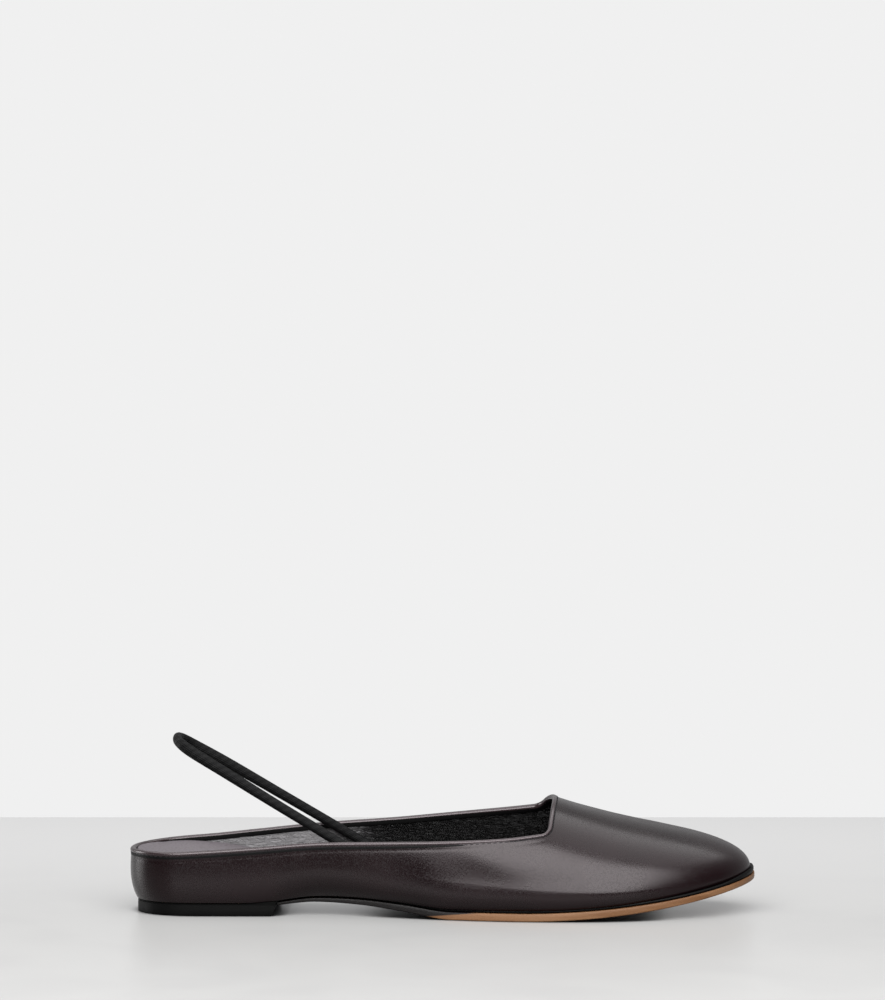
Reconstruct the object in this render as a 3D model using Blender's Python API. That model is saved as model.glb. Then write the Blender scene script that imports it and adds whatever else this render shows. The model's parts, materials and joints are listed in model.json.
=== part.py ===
"""Sling back flat, a right shoe, in metres with +Z up, +X toward the toe and +Y toward the inner side.

Every piece is worked out from the named sizes and from short tables. A table holds a row for each
place along the shoe, as a share of its length, and each column is a share of the size it follows.
"""

import math
from collections import namedtuple

import bmesh
import bpy
from mathutils import Vector

# Driving sizes
SHOE_LENGTH = 0.250
BALL_WIDTH = 0.079
COLLAR_HEIGHT = 0.0244
THROAT_HEIGHT = 0.0446
SEAT_HEIGHT = 0.0251
TOE_SPRING = 0.0128
ARCH_HEIGHT = 0.0055

# Thicknesses and clearances
GAP = 0.0003
WALL = 0.0018
SOLE_THICKNESS = 0.0030
RAND_THICKNESS = 0.0009
RAND_WIDTH = 0.0060
RAND_SETBACK = 0.0003
INSOLE_THICKNESS = 0.0025
INSOLE_CLEARANCE = 0.0009
WEDGE_CLEARANCE = 0.0004
LIFT_THICKNESS = 0.0050
LIFT_LENGTH = 0.0600
LIFT_BLEND = 0.012
BREAST_LEAN = 0.0020
BINDING_WIDTH = 0.0024
BINDING_HEIGHT = 0.0019
SOLE_EDGE_ROUND = 0.0006

# Sling strap
STRAP_DIAMETER = 0.0035
STRAP_TOP_HEIGHT = 0.0684
STRAP_TOP_REACH = 0.0187
STRAP_END_REACH = 0.1085

# Places along the shoe, as shares of its length
HEEL_FOCUS = 0.112
BALL_FOCUS = 0.688
LATERAL_CORNER = 0.672
MEDIAL_CORNER = 0.659
THROAT_PEAK = 0.681
TREAD_END = 0.620
WEDGE_END = 0.412

# How square the outline is at the heel and the toe, and how full the wall is, on each side
HEEL_SQUARENESS = 2.25
TOE_SQUARENESS = {"lateral": 2.25, "medial": 2.6}
CROWN_FULLNESS = {"heel": 2.35, "lateral": 2.35, "medial": 2.75}
CROWN_ROUNDNESS = {"heel": 2.0, "lateral": 2.0, "medial": 2.15}
CROWN_BLEND = 0.75
SPRING_CURVE = 2.05
TUCK_ANGLE = math.radians(55)
CORNER_ROUND = 0.0032
WALL_PROBE = 0.0003

# The last: distances from the spine line, the spine's own bend, the height of the widest line
# between feather and ridge, the feather's tuck under it, and the ridge along the top
Section = namedtuple("Section", "along lateral medial spine widest tuck ridge")
LAST = [
    Section(0.000, 0.344, 0.344, 0.000, 0.180, 0.034, 1.570),
    Section(0.112, 0.344, 0.342, 0.000, 0.180, 0.031, 1.570),
    Section(0.220, 0.350, 0.324, 0.000, 0.182, 0.042, 1.570),
    Section(0.320, 0.366, 0.298, 0.002, 0.186, 0.074, 1.560),
    Section(0.420, 0.414, 0.302, 0.007, 0.193, 0.056, 1.450),
    Section(0.520, 0.482, 0.344, 0.016, 0.198, 0.036, 1.300),
    Section(0.620, 0.534, 0.396, 0.028, 0.184, 0.025, 1.110),
    Section(0.688, 0.546, 0.414, 0.038, 0.172, 0.020, 1.000),
    Section(0.740, 0.546, 0.414, 0.046, 0.160, 0.017, 0.922),
    Section(0.780, 0.546, 0.414, 0.053, 0.150, 0.015, 0.874),
    Section(0.820, 0.546, 0.414, 0.060, 0.138, 0.014, 0.843),
    Section(0.880, 0.546, 0.414, 0.070, 0.110, 0.012, 0.822),
    Section(1.000, 0.546, 0.414, 0.090, 0.050, 0.008, 0.818),
]

# The collar's rise from the heel's collar height toward the throat height
Rise = namedtuple("Rise", "along lateral medial")
COLLAR = [
    Rise(0.000, 0.000, 0.000),
    Rise(0.060, 0.000, 0.055),
    Rise(0.120, 0.035, 0.110),
    Rise(0.200, 0.105, 0.220),
    Rise(0.310, 0.215, 0.370),
    Rise(0.400, 0.245, 0.450),
    Rise(0.500, 0.285, 0.555),
    Rise(0.600, 0.355, 0.670),
    Rise(0.680, 0.470, 0.800),
]

# The sole: its underside, its thickness, the rand's thickness, and how far the sole's edge lies
# inside the upper's widest line
Bottom = namedtuple("Bottom", "along underside sole rand inset")
SOLE = [
    Bottom(0.230, 0.650, 0.400, 0.400, 0.072),
    Bottom(0.262, 0.860, 0.450, 0.400, 0.082),
    Bottom(0.300, 1.000, 0.520, 0.420, 0.086),
    Bottom(0.370, 0.860, 0.680, 0.520, 0.074),
    Bottom(0.436, 0.500, 0.860, 0.760, 0.054),
    Bottom(0.520, 0.000, 1.000, 1.000, 0.031),
    Bottom(0.600, 0.000, 1.000, 1.000, 0.013),
    Bottom(0.690, 0.000, 1.000, 1.000, 0.005),
    Bottom(0.800, 0.000, 0.950, 1.000, -0.003),
    Bottom(0.900, 0.000, 0.860, 1.000, -0.013),
    Bottom(1.000, 0.000, 0.780, 1.000, -0.021),
]

# The wedge under the insole, as a share of its height at the seat
Seat = namedtuple("Seat", "along height")
WEDGE = [
    Seat(0.000, 1.000),
    Seat(0.080, 0.995),
    Seat(0.130, 0.950),
    Seat(0.180, 0.850),
    Seat(0.230, 0.690),
    Seat(0.290, 0.430),
    Seat(0.360, 0.200),
    Seat(0.420, 0.062),
    Seat(0.480, 0.000),
    Seat(1.000, 0.000),
]

# The lift's edge inside the upper's widest line
Inset = namedtuple("Inset", "along inset")
LIFT = [Inset(0.000, 0.038), Inset(0.112, 0.034), Inset(0.240, 0.046)]

# How finely the pieces are divided
HEEL_STEPS = 8
SIDE_STEPS = 18
CORNER_STEPS = 5
VAMP_STEPS = 11
WALL_ROWS = 9
TUCK_ROWS = 4
RIB_SAMPLES = 48
ACROSS = 8
BINDING_SIDES = 8

SIDES = {"lateral": -1.0, "medial": 1.0}
Station = namedtuple("Station", "zone place")


def read_table(table, column, along):
    """Value of a column at a place along the shoe, on a smooth curve through the rows."""
    rows = [(row.along, getattr(row, column)) for row in table]
    along = min(max(along, rows[0][0]), rows[-1][0])
    last = len(rows) - 2
    k = 0
    while k < last and along > rows[k + 1][0]:
        k += 1
    slopes = [(b[1] - a[1]) / (b[0] - a[0]) for a, b in zip(rows, rows[1:])]

    def tangent(i):
        if i == 0 or i == len(rows) - 1:
            return slopes[min(i, last)]
        before = slopes[i - 1]
        after = slopes[i]
        return 0.0 if before * after <= 0.0 else 2.0 * before * after / (before + after)

    x0, y0 = rows[k]
    x1, y1 = rows[k + 1]
    span = x1 - x0
    t = (along - x0) / span
    value = y0 * (1.0 + 2.0 * t) * (1.0 - t) ** 2 + y1 * t * t * (3.0 - 2.0 * t)
    value += span * t * (1.0 - t) * (tangent(k) * (1.0 - t) - tangent(k + 1) * t)
    return value


def smooth_step(t):
    """A soft rise from nought to one."""
    t = min(max(t, 0.0), 1.0)
    return t * t * (3.0 - 2.0 * t)


def upper_length():
    """Reach of the upper's widest line, behind the sole's ledge at the toe."""
    return SHOE_LENGTH + read_table(SOLE, "inset", 1.0) * BALL_WIDTH


def spine(x):
    """The line along the middle of the last, seen from above."""
    return read_table(LAST, "spine", x / SHOE_LENGTH) * BALL_WIDTH


def half_width(side, x):
    """Distance from the spine to the widest line."""
    return read_table(LAST, side, x / SHOE_LENGTH) * BALL_WIDTH


def underside(x):
    """Height of the sole's underside, with the arch and the toe spring."""
    arch = read_table(SOLE, "underside", x / SHOE_LENGTH) * ARCH_HEIGHT
    reach = max(0.0, x / SHOE_LENGTH - TREAD_END) / (1.0 - TREAD_END)
    return arch + TOE_SPRING * reach ** SPRING_CURVE


def sole_top(x):
    """Height of the sole's upper face."""
    return underside(x) + read_table(SOLE, "sole", x / SHOE_LENGTH) * SOLE_THICKNESS


def rand_top(x):
    """Height of the rand's upper face."""
    thickness = read_table(SOLE, "rand", x / SHOE_LENGTH) * RAND_THICKNESS
    return sole_top(x) + GAP + thickness


def bed(x):
    """Height of the feather line, where the upper meets lift, rand and sole."""
    front = rand_top(max(x, LIFT_LENGTH)) + GAP
    back = LIFT_THICKNESS + GAP
    return back + (front - back) * smooth_step((x - LIFT_LENGTH + LIFT_BLEND) / LIFT_BLEND)


def ridge(x):
    """Height of the last along its top."""
    return read_table(LAST, "ridge", x / SHOE_LENGTH) * THROAT_HEIGHT


def widest(x):
    """Height of the widest line."""
    return bed(x) + read_table(LAST, "widest", x / SHOE_LENGTH) * (ridge(x) - bed(x))


def insole_base(x):
    """Height of the insole's underside, on the wedge and then on the rand."""
    seat = SEAT_HEIGHT - INSOLE_THICKNESS - bed(0.0)
    return bed(x) + read_table(WEDGE, "height", x / SHOE_LENGTH) * seat


def insole_top(x):
    """Height of the insole's upper face."""
    return insole_base(x) + INSOLE_THICKNESS


def power_pair(angle, squareness):
    """Cosine and sine of a rounded square's corner."""
    exponent = 2.0 / squareness
    return max(math.cos(angle), 0.0) ** exponent, max(math.sin(angle), 0.0) ** exponent


def station_x(station):
    """Nominal place of a station along the shoe."""
    heel = HEEL_FOCUS * SHOE_LENGTH
    ball = BALL_FOCUS * SHOE_LENGTH
    if station.zone == "heel":
        return heel * (1.0 - power_pair(station.place, HEEL_SQUARENESS)[0])
    if station.zone == "toe":
        return ball + (upper_length() - ball) * power_pair(station.place, 2.3)[1]
    return station.place


def plan_point(side, station, inset):
    """Point of the outline, drawn in by an inset that is a length or a function of the place."""
    amount = inset if callable(inset) else (lambda x: inset)
    sign = SIDES[side]
    here = amount(station_x(station))
    if station.zone == "heel":
        focus = HEEL_FOCUS * SHOE_LENGTH
        cosine, sine = power_pair(station.place, HEEL_SQUARENESS)
        x = focus - (focus - amount(0.0)) * cosine
        return Vector((x, spine(x) + sign * (half_width(side, focus) - here) * sine))
    if station.zone == "toe":
        focus = BALL_FOCUS * SHOE_LENGTH
        cosine, sine = power_pair(station.place, TOE_SQUARENESS[side])
        x = focus + (upper_length() - amount(SHOE_LENGTH) - focus) * sine
        return Vector((x, spine(x) + sign * (half_width(side, focus) - here) * cosine))
    x = station.place
    return Vector((x, spine(x) + sign * (half_width(side, x) - here)))


def gauge(x, y):
    """Nought on the spine and one on the widest line."""
    side = "lateral" if y < spine(x) else "medial"
    across = abs(y - spine(x))
    heel = HEEL_FOCUS * SHOE_LENGTH
    ball = BALL_FOCUS * SHOE_LENGTH
    if x < heel:
        along = (heel - x) / heel
        power = HEEL_SQUARENESS
        share = across / half_width(side, heel)
    elif x > ball:
        along = (x - ball) / (upper_length() - ball)
        power = TOE_SQUARENESS[side]
        share = across / half_width(side, ball)
    else:
        return across / half_width(side, x)
    return (along ** power + share ** power) ** (1.0 / power)


def crown_powers(x, lean):
    """Fullness and roundness of the wall, where lean runs from nought outside to one inside."""
    heel = HEEL_FOCUS * SHOE_LENGTH
    front = smooth_step((x - heel) / (BALL_FOCUS * SHOE_LENGTH - heel))
    powers = []
    for table in (CROWN_FULLNESS, CROWN_ROUNDNESS):
        side = table["lateral"] + (table["medial"] - table["lateral"]) * lean
        powers.append(table["heel"] + (side - table["heel"]) * front)
    return powers


def crown(x, y):
    """Height of the last's upper surface over a point seen from above."""
    share = min(gauge(x, y), 1.0)
    side = "lateral" if y < spine(x) else "medial"
    across = (y - spine(x)) / half_width(side, x)
    fullness, roundness = crown_powers(x, smooth_step(0.5 + CROWN_BLEND * across))
    rise = (1.0 - share ** fullness) ** (1.0 / roundness)
    return widest(x) + (ridge(x) - widest(x)) * rise


def crown_share(side, x, z):
    """Gauge at which the last reaches a height, the other way round from crown."""
    rise = min(max((z - widest(x)) / (ridge(x) - widest(x)), 0.0), 0.999)
    fullness, roundness = crown_powers(x, 1.0 if side == "medial" else 0.0)
    return (1.0 - rise ** roundness) ** (1.0 / fullness)


def tuck(x):
    """How far the feather line lies inside the widest line."""
    return read_table(LAST, "tuck", x / SHOE_LENGTH) * BALL_WIDTH


def tuck_at(x, angle):
    """Inset and height of the wall below the widest line, at an angle of its curve."""
    inset = tuck(x) * (1.0 - math.cos(angle)) / (1.0 - math.cos(TUCK_ANGLE))
    drop = (widest(x) - bed(x)) * math.sin(angle) / math.sin(TUCK_ANGLE)
    return inset, widest(x) - drop


def outer_inset(side, x, z):
    """Inset of the upper's outer face from the widest line at a height."""
    if z < widest(x):
        sine = (widest(x) - z) / (widest(x) - bed(x)) * math.sin(TUCK_ANGLE)
        return tuck_at(x, math.asin(min(sine, 1.0)))[0]
    return (1.0 - crown_share(side, x, z)) * half_width(side, x)


def inner_inset(side, x, z, clearance):
    """Inset of a line that keeps clear of the upper's inner face at a height."""
    low = max(z, bed(x))
    high = low + WALL_PROBE
    inset = outer_inset(side, x, low)
    slope = (outer_inset(side, x, high) - inset) / WALL_PROBE
    return inset + (WALL + clearance) * math.sqrt(1.0 + slope * slope)


def collar_height(side, x):
    """Height of the collar line on one side."""
    rise = read_table(COLLAR, side, x / SHOE_LENGTH)
    return COLLAR_HEIGHT + rise * (THROAT_HEIGHT - COLLAR_HEIGHT)


def collar_side(side, station):
    """Collar point above a station of the heel or the side."""
    outline = plan_point(side, station, 0.0)
    x = outline.x
    z = collar_height(side, x)
    share = crown_share(side, x, z)
    focus_x = max(x, HEEL_FOCUS * SHOE_LENGTH) if station.zone == "heel" else x
    focus = Vector((focus_x, spine(focus_x)))
    point = focus + (outline - focus) * share
    return Vector((point.x, point.y, z))


def throat_corner(side):
    """Plan point where side collar and throat line would cross."""
    share = LATERAL_CORNER if side == "lateral" else MEDIAL_CORNER
    x = share * SHOE_LENGTH
    return collar_side(side, Station("side", x)).to_2d()


def throat_point(side, share):
    """Plan point of the throat line, from its peak to the corner of one side."""
    peak = Vector((THROAT_PEAK * SHOE_LENGTH, spine(THROAT_PEAK * SHOE_LENGTH)))
    corner = throat_corner(side)
    x = peak.x + (corner.x - peak.x) * share * share
    return Vector((x, peak.y + (corner.y - peak.y) * share))


def on_crown(point):
    """Lift a plan point to the last's surface."""
    return Vector((point.x, point.y, crown(point.x, point.y)))


def rib_pairs(side):
    """Outline station and collar point of each rib of one side, from heel centre to toe tip."""
    heel = HEEL_FOCUS * SHOE_LENGTH
    ball = BALL_FOCUS * SHOE_LENGTH
    corner = throat_corner(side)
    stop = corner.x - CORNER_ROUND
    width = abs(corner.y - throat_point(side, 0.0).y)
    start = 1.0 - CORNER_ROUND / width
    turn = math.radians(14)
    pairs = []
    for i in range(HEEL_STEPS):
        station = Station("heel", math.pi / 2.0 * i / HEEL_STEPS)
        pairs.append((station, collar_side(side, station)))
    for i in range(SIDE_STEPS):
        share = i / SIDE_STEPS
        point = collar_side(side, Station("side", heel + (stop - heel) * share))
        pairs.append((Station("side", heel + (ball - heel) * share), point))
    before = collar_side(side, Station("side", stop)).to_2d()
    after = throat_point(side, start)
    for i in range(CORNER_STEPS):
        t = i / CORNER_STEPS
        point = before * (1.0 - t) ** 2 + corner * 2.0 * t * (1.0 - t) + after * t * t
        pairs.append((Station("toe", turn * t), on_crown(point)))
    for i in range(VAMP_STEPS + 1):
        t = i / VAMP_STEPS
        place = turn + (math.pi / 2.0 - turn) * t
        pairs.append((Station("toe", place), on_crown(throat_point(side, start * (1.0 - t)))))
    return pairs


def rib(side, station, collar):
    """Points of one rib of the last, from the feather line up to the collar line."""
    points = []
    for i in range(TUCK_ROWS):
        angle = TUCK_ANGLE * (1.0 - i / TUCK_ROWS)
        plan = plan_point(side, station, lambda x, angle=angle: tuck_at(x, angle)[0])
        points.append(Vector((plan.x, plan.y, tuck_at(plan.x, angle)[1])))
    foot = plan_point(side, station, 0.0)
    head = collar.to_2d()
    full = math.acos(min(max(gauge(head.x, head.y), 0.0), 0.995))
    fine = []
    for i in range(RIB_SAMPLES + 1):
        share = (1.0 - math.cos(full * i / RIB_SAMPLES)) / (1.0 - math.cos(full))
        fine.append(on_crown(foot + (head - foot) * share))
    fine[0].z = widest(foot.x)
    return points, fine


def walk(points, distances):
    """Points at given distances along a chain."""
    found = []
    for distance in distances:
        left = distance
        for a, b in zip(points, points[1:]):
            step = (b - a).length
            if left <= step or b is points[-1]:
                found.append(a.lerp(b, min(left / step, 1.0)))
                break
            left -= step
    return found


def last_grid():
    """Rings of the last's outer surface, feather first, and the collar line with its tangents."""
    trim = BINDING_HEIGHT / 2.0 + GAP
    around = [("lateral", *pair) for pair in rib_pairs("lateral")]
    around += [("medial", *pair) for pair in reversed(rib_pairs("medial")[1:-1])]
    heads = [head for _, _, head in around]
    ribs = []
    collar = []
    for i, (side, station, head) in enumerate(around):
        tangent = (heads[(i + 1) % len(heads)] - heads[i - 1]).normalized()
        low, fine = rib(side, station, head)
        climb = (fine[-1] - fine[-4]).normalized()
        slant = climb.cross(tangent).length
        length = sum((b - a).length for a, b in zip(fine, fine[1:]))
        rows = [(length - trim / slant) * k / WALL_ROWS for k in range(WALL_ROWS + 1)]
        ribs.append(low + walk(fine, rows))
        collar.append((head, tangent))
    return ribs, collar


def grid_normals(ribs):
    """Outward normals of a grid that closes round the shoe."""
    count = len(ribs)
    normals = []
    for i in range(count):
        before = ribs[i - 1]
        after = ribs[(i + 1) % count]
        column = []
        for j in range(len(ribs[i])):
            along = after[j] - before[j]
            top = ribs[i][min(j + 1, len(ribs[i]) - 1)]
            low = ribs[i][max(j - 1, 0)]
            column.append(along.cross(top - low).normalized())
        normals.append(column)
    return normals


def finish(name, bm, material):
    """Turn a bmesh into an object with its material."""
    bmesh.ops.remove_doubles(bm, verts=bm.verts, dist=0.000002)
    bmesh.ops.recalc_face_normals(bm, faces=bm.faces)
    mesh = bpy.data.meshes.new(name)
    bm.to_mesh(mesh)
    bm.free()
    mesh.shade_smooth()
    mesh.set_sharp_from_angle(angle=math.radians(40))
    mesh.materials.append(material)
    piece = bpy.data.objects.new(name, mesh)
    bpy.context.scene.collection.objects.link(piece)
    return piece


def band(bm, loops, closed):
    """Faces between neighbouring loops of vertices; each loop closes on itself when asked."""
    for a, b in zip(loops, loops[1:]):
        count = len(a)
        for i in range(count if closed else count - 1):
            k = (i + 1) % count
            bm.faces.new((a[i], a[k], b[k], b[i]))


def make_upper(material):
    """One hollow wall of leather, open at the collar and underneath."""
    ribs, _ = last_grid()
    normals = grid_normals(ribs)
    bm = bmesh.new()
    outer = []
    inner = []
    for j in range(len(ribs[0])):
        outer.append([bm.verts.new(column[j]) for column in ribs])
        inner.append([bm.verts.new(c[j] - n[j] * WALL) for c, n in zip(ribs, normals)])
    band(bm, outer + inner[::-1] + [outer[0]], closed=True)
    return finish("upper", bm, material)


def make_binding(material):
    """The rolled edge along the collar line, over the middle of the wall."""
    ribs, collar = last_grid()
    normals = grid_normals(ribs)
    bm = bmesh.new()
    loops = []
    for k in range(BINDING_SIDES):
        angle = 2.0 * math.pi * k / BINDING_SIDES
        loop = []
        for (head, tangent), column in zip(collar, normals):
            outward = (column[-1] - tangent * column[-1].dot(tangent)).normalized()
            centre = head - outward * WALL / 2.0
            across = outward * math.cos(angle) * BINDING_WIDTH / 2.0
            along = outward.cross(tangent) * math.sin(angle) * BINDING_HEIGHT / 2.0
            loop.append(bm.verts.new(centre + across + along))
        loops.append(loop)
    band(bm, loops + [loops[0]], closed=True)
    return finish("collar_binding", bm, material)


def side_stations(start, stop, steps):
    """Stations of the side between two places."""
    return [Station("side", start + (stop - start) * i / steps) for i in range(steps + 1)]


def heel_stations():
    """Stations round the heel, from its centre."""
    return [Station("heel", math.pi / 2.0 * i / HEEL_STEPS) for i in range(HEEL_STEPS)]


def toe_stations():
    """Stations round the toe, up to its tip."""
    steps = CORNER_STEPS + VAMP_STEPS
    return [Station("toe", math.pi / 2.0 * i / steps) for i in range(1, steps + 1)]


def sheet_rows(bm, stations, inset, height):
    """A sheet across the shoe, a row of vertices for each station."""
    rows = []
    for station in stations:
        ends = [plan_point(side, station, inset(side)) for side in SIDES]
        row = []
        for k in range(ACROSS + 1):
            plan = ends[0].lerp(ends[1], k / ACROSS)
            row.append(bm.verts.new((plan.x, plan.y, height(plan.x))))
        rows.append(row)
    return rows


def make_slab(name, layers, material):
    """A solid of two or more sheets, walled at its edge; layers hold stations, inset and height."""
    bm = bmesh.new()
    sheets = [sheet_rows(bm, *layer) for layer in layers]
    band(bm, sheets[0], closed=False)
    band(bm, sheets[-1], closed=False)
    rims = []
    for rows in sheets:
        rim = rows[0][::-1] + [row[0] for row in rows[1:-1]]
        rim += rows[-1] + [row[-1] for row in rows[-2:0:-1]]
        rims.append(rim)
    band(bm, rims, closed=True)
    return finish(name, bm, material)


def make_insole(material):
    """The insole board with its sock, just inside the wall."""
    stations = heel_stations()
    stations += side_stations(HEEL_FOCUS * SHOE_LENGTH, BALL_FOCUS * SHOE_LENGTH, SIDE_STEPS)
    stations += toe_stations()

    def inset_at(height):
        return lambda side: lambda x: inner_inset(side, x, height(x), INSOLE_CLEARANCE)

    layers = [
        (stations, inset_at(insole_base), insole_base),
        (stations, inset_at(insole_top), insole_top),
    ]
    return make_slab("insole", layers, material)


def make_wedge(material):
    """The low wedge inside the heel and waist, under the insole."""
    heel = HEEL_FOCUS * SHOE_LENGTH
    stations = heel_stations() + side_stations(heel, WEDGE_END * SHOE_LENGTH, SIDE_STEPS // 2)

    def top(x):
        return insole_base(x) - GAP

    def middle(x):
        return (bed(x) + top(x)) / 2.0

    def inset_at(height):
        return lambda side: lambda x: inner_inset(side, x, height(x), WEDGE_CLEARANCE)

    layers = [
        (stations, inset_at(bed), bed),
        (stations, inset_at(middle), middle),
        (stations, inset_at(top), top),
    ]
    return make_slab("heel_wedge", layers, material)


def make_lift(material):
    """The flat top lift under the heel, with a breast that leans forward."""
    heel = HEEL_FOCUS * SHOE_LENGTH

    def inset(side):
        return lambda x: read_table(LIFT, "inset", x / SHOE_LENGTH) * BALL_WIDTH

    low = heel_stations() + side_stations(heel, LIFT_LENGTH - BREAST_LEAN, SIDE_STEPS // 3)
    high = heel_stations() + side_stations(heel, LIFT_LENGTH, SIDE_STEPS // 3)
    layers = [
        (low, inset, lambda x: 0.0),
        (high, inset, lambda x: bed(x) - GAP),
    ]
    return make_slab("heel_lift", layers, material)


def sole_inset(x):
    """Inset of the sole's edge from the widest line."""
    return read_table(SOLE, "inset", x / SHOE_LENGTH) * BALL_WIDTH


def sole_stations():
    """Stations from the breast to the toe."""
    start = LIFT_LENGTH + GAP
    return side_stations(start, BALL_FOCUS * SHOE_LENGTH, SIDE_STEPS) + toe_stations()


def make_outsole(material):
    """The thin leather sole from the breast to the toe, flat under the ball."""
    stations = sole_stations()

    def rounded(side):
        return lambda x: sole_inset(x) + SOLE_EDGE_ROUND

    layers = [
        (stations, rounded, underside),
        (stations, lambda side: sole_inset, lambda x: underside(x) + SOLE_EDGE_ROUND),
        (stations, lambda side: sole_inset, sole_top),
    ]
    return make_slab("outsole", layers, material)


def make_rand(material):
    """The thin strip between sole and upper, from breast to breast round the toe."""
    stations = sole_stations()
    around = [("lateral", s) for s in stations]
    around += [("medial", s) for s in reversed(stations[:-1])]
    bm = bmesh.new()
    corners = [(RAND_SETBACK, False), (RAND_SETBACK, True), (RAND_WIDTH, True), (RAND_WIDTH, False)]
    loops = []
    for side, station in around:
        loop = []
        for depth, high in corners:
            plan = plan_point(side, station, lambda x, depth=depth: sole_inset(x) + depth)
            z = rand_top(plan.x) if high else sole_top(plan.x) + GAP
            loop.append(bm.verts.new((plan.x, plan.y, z)))
        loops.append(loop)
    band(bm, loops, closed=True)
    bm.faces.new(loops[0])
    bm.faces.new(loops[-1])
    return finish("rand", bm, material)


def smooth_route(knots, steps):
    """Points of a smooth curve through the knots."""
    points = []
    padded = [knots[0] * 2.0 - knots[1]] + knots + [knots[-1] * 2.0 - knots[-2]]
    for a, b, c, d in zip(padded, padded[1:], padded[2:], padded[3:]):
        for i in range(steps):
            t = i / steps
            point = b * 2.0 + (c - a) * t + (a * 2.0 - b * 5.0 + c * 4.0 - d) * t * t
            point += (b * 3.0 - a - c * 3.0 + d) * t ** 3
            points.append(point * 0.5)
    return points + [knots[-1].copy()]


# The strap's route: share of the way back from its ends to its top, share of the climb, and its
# distance from the spine as a share of the room inside the wall or the collar there
Bend = namedtuple("Bend", "back climb lateral medial")
STRAP = [
    Bend(0.03, 0.030, 0.990, 0.990),
    Bend(0.10, 0.150, 0.960, 0.970),
    Bend(0.30, 0.345, 0.940, 0.955),
    Bend(0.55, 0.580, 0.870, 0.810),
    Bend(0.78, 0.797, 0.750, 0.640),
    Bend(0.93, 0.932, 0.570, 0.490),
    Bend(0.985, 0.986, 0.330, 0.300),
]


def strap_room(side, x, z):
    """Distance from the spine at which the strap just clears the wall and its binding."""
    clearance = GAP + STRAP_DIAMETER / 2.0 + (BINDING_WIDTH - WALL) / 2.0
    height = min(z, collar_height(side, x))
    return half_width(side, x) - inner_inset(side, x, height, clearance)


def strap_point(side, x, z, share):
    """Centre of the strap at a share of its room on one side."""
    return Vector((x, spine(x) + SIDES[side] * share * strap_room(side, x, z), z))


def strap_end(side, x):
    """Centre of the strap where it lies on the insole beside the wall."""
    return strap_point(side, x, insole_top(x) + GAP + STRAP_DIAMETER / 2.0, 1.0)


def strap_knots():
    """Points chosen along the strap, from its outer end over the top to its inner end."""
    top = Vector((STRAP_TOP_REACH, 0.0, STRAP_TOP_HEIGHT))
    runs = {}
    for side in SIDES:
        end = strap_end(side, STRAP_END_REACH)
        run = [strap_end(side, STRAP_END_REACH + STRAP_DIAMETER), end]
        for bend in STRAP:
            x = end.x + (top.x - end.x) * bend.back
            z = end.z + (top.z - end.z) * bend.climb
            run.append(strap_point(side, x, z, getattr(bend, side)))
        runs[side] = run
    return runs["lateral"] + [top] + runs["medial"][::-1]


def make_strap(material):
    """The elastic loop behind the heel."""
    curve = bpy.data.curves.new("sling_strap", "CURVE")
    curve.dimensions = "3D"
    curve.bevel_depth = STRAP_DIAMETER / 2.0
    curve.bevel_resolution = 2
    curve.use_fill_caps = True
    points = smooth_route(strap_knots(), 3)
    line = curve.splines.new("POLY")
    line.points.add(len(points) - 1)
    for slot, point in zip(line.points, points):
        slot.co = (point.x, point.y, point.z, 1.0)
    curve.materials.append(material)
    piece = bpy.data.objects.new("sling_strap", curve)
    bpy.context.scene.collection.objects.link(piece)
    return piece


def make_material(name, colour, roughness):
    """A plain finish of one colour."""
    material = bpy.data.materials.new(name)
    material.use_nodes = True
    shader = material.node_tree.nodes["Principled BSDF"]
    shader.inputs["Base Color"].default_value = (*colour, 1.0)
    shader.inputs["Roughness"].default_value = roughness
    shader.inputs["Metallic"].default_value = 0.0
    material.diffuse_color = (*colour, 1.0)
    return material


def centre_on_floor(pieces):
    """Move the pieces so that the middle of their common box stands over the origin."""
    bpy.context.view_layer.update()
    corners = [p.matrix_world @ Vector(c) for p in pieces for c in p.bound_box]
    low = [min(c[i] for c in corners) for i in range(2)]
    high = [max(c[i] for c in corners) for i in range(2)]
    for piece in pieces:
        piece.location.x = -(low[0] + high[0]) / 2.0
        piece.location.y = -(low[1] + high[1]) / 2.0


def main():
    for old in list(bpy.data.objects):
        bpy.data.objects.remove(old, do_unlink=True)
    leather = make_material("dark_leather", (0.030, 0.018, 0.020), 0.38)
    piping = make_material("rolled_leather", (0.036, 0.022, 0.025), 0.35)
    sock = make_material("sock_leather", (0.120, 0.090, 0.100), 0.50)
    core = make_material("heel_core", (0.250, 0.170, 0.110), 0.70)
    lift = make_material("black_rubber", (0.012, 0.012, 0.012), 0.50)
    sole = make_material("tan_leather", (0.420, 0.240, 0.120), 0.45)
    edge = make_material("black_edge", (0.008, 0.008, 0.008), 0.40)
    elastic = make_material("black_elastic", (0.006, 0.006, 0.007), 0.60)
    pieces = [
        make_upper(leather),
        make_binding(piping),
        make_insole(sock),
        make_wedge(core),
        make_lift(lift),
        make_outsole(sole),
        make_rand(edge),
        make_strap(elastic),
    ]
    centre_on_floor(pieces)


main()
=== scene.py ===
"""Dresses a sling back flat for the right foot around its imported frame.

The last is worked out from named sizes and short tables, as shares of the shoe's length, ball width
and heights. Upper, lining, binding, sock, sole, rand, lift and strap are then modelled on it.
"""

import json
import logging
import math
from dataclasses import dataclass, field
from enum import Enum
from typing import Callable, Iterable, NamedTuple

import bmesh
import bpy
import numpy as np
from mathutils import Matrix, Vector

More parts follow.
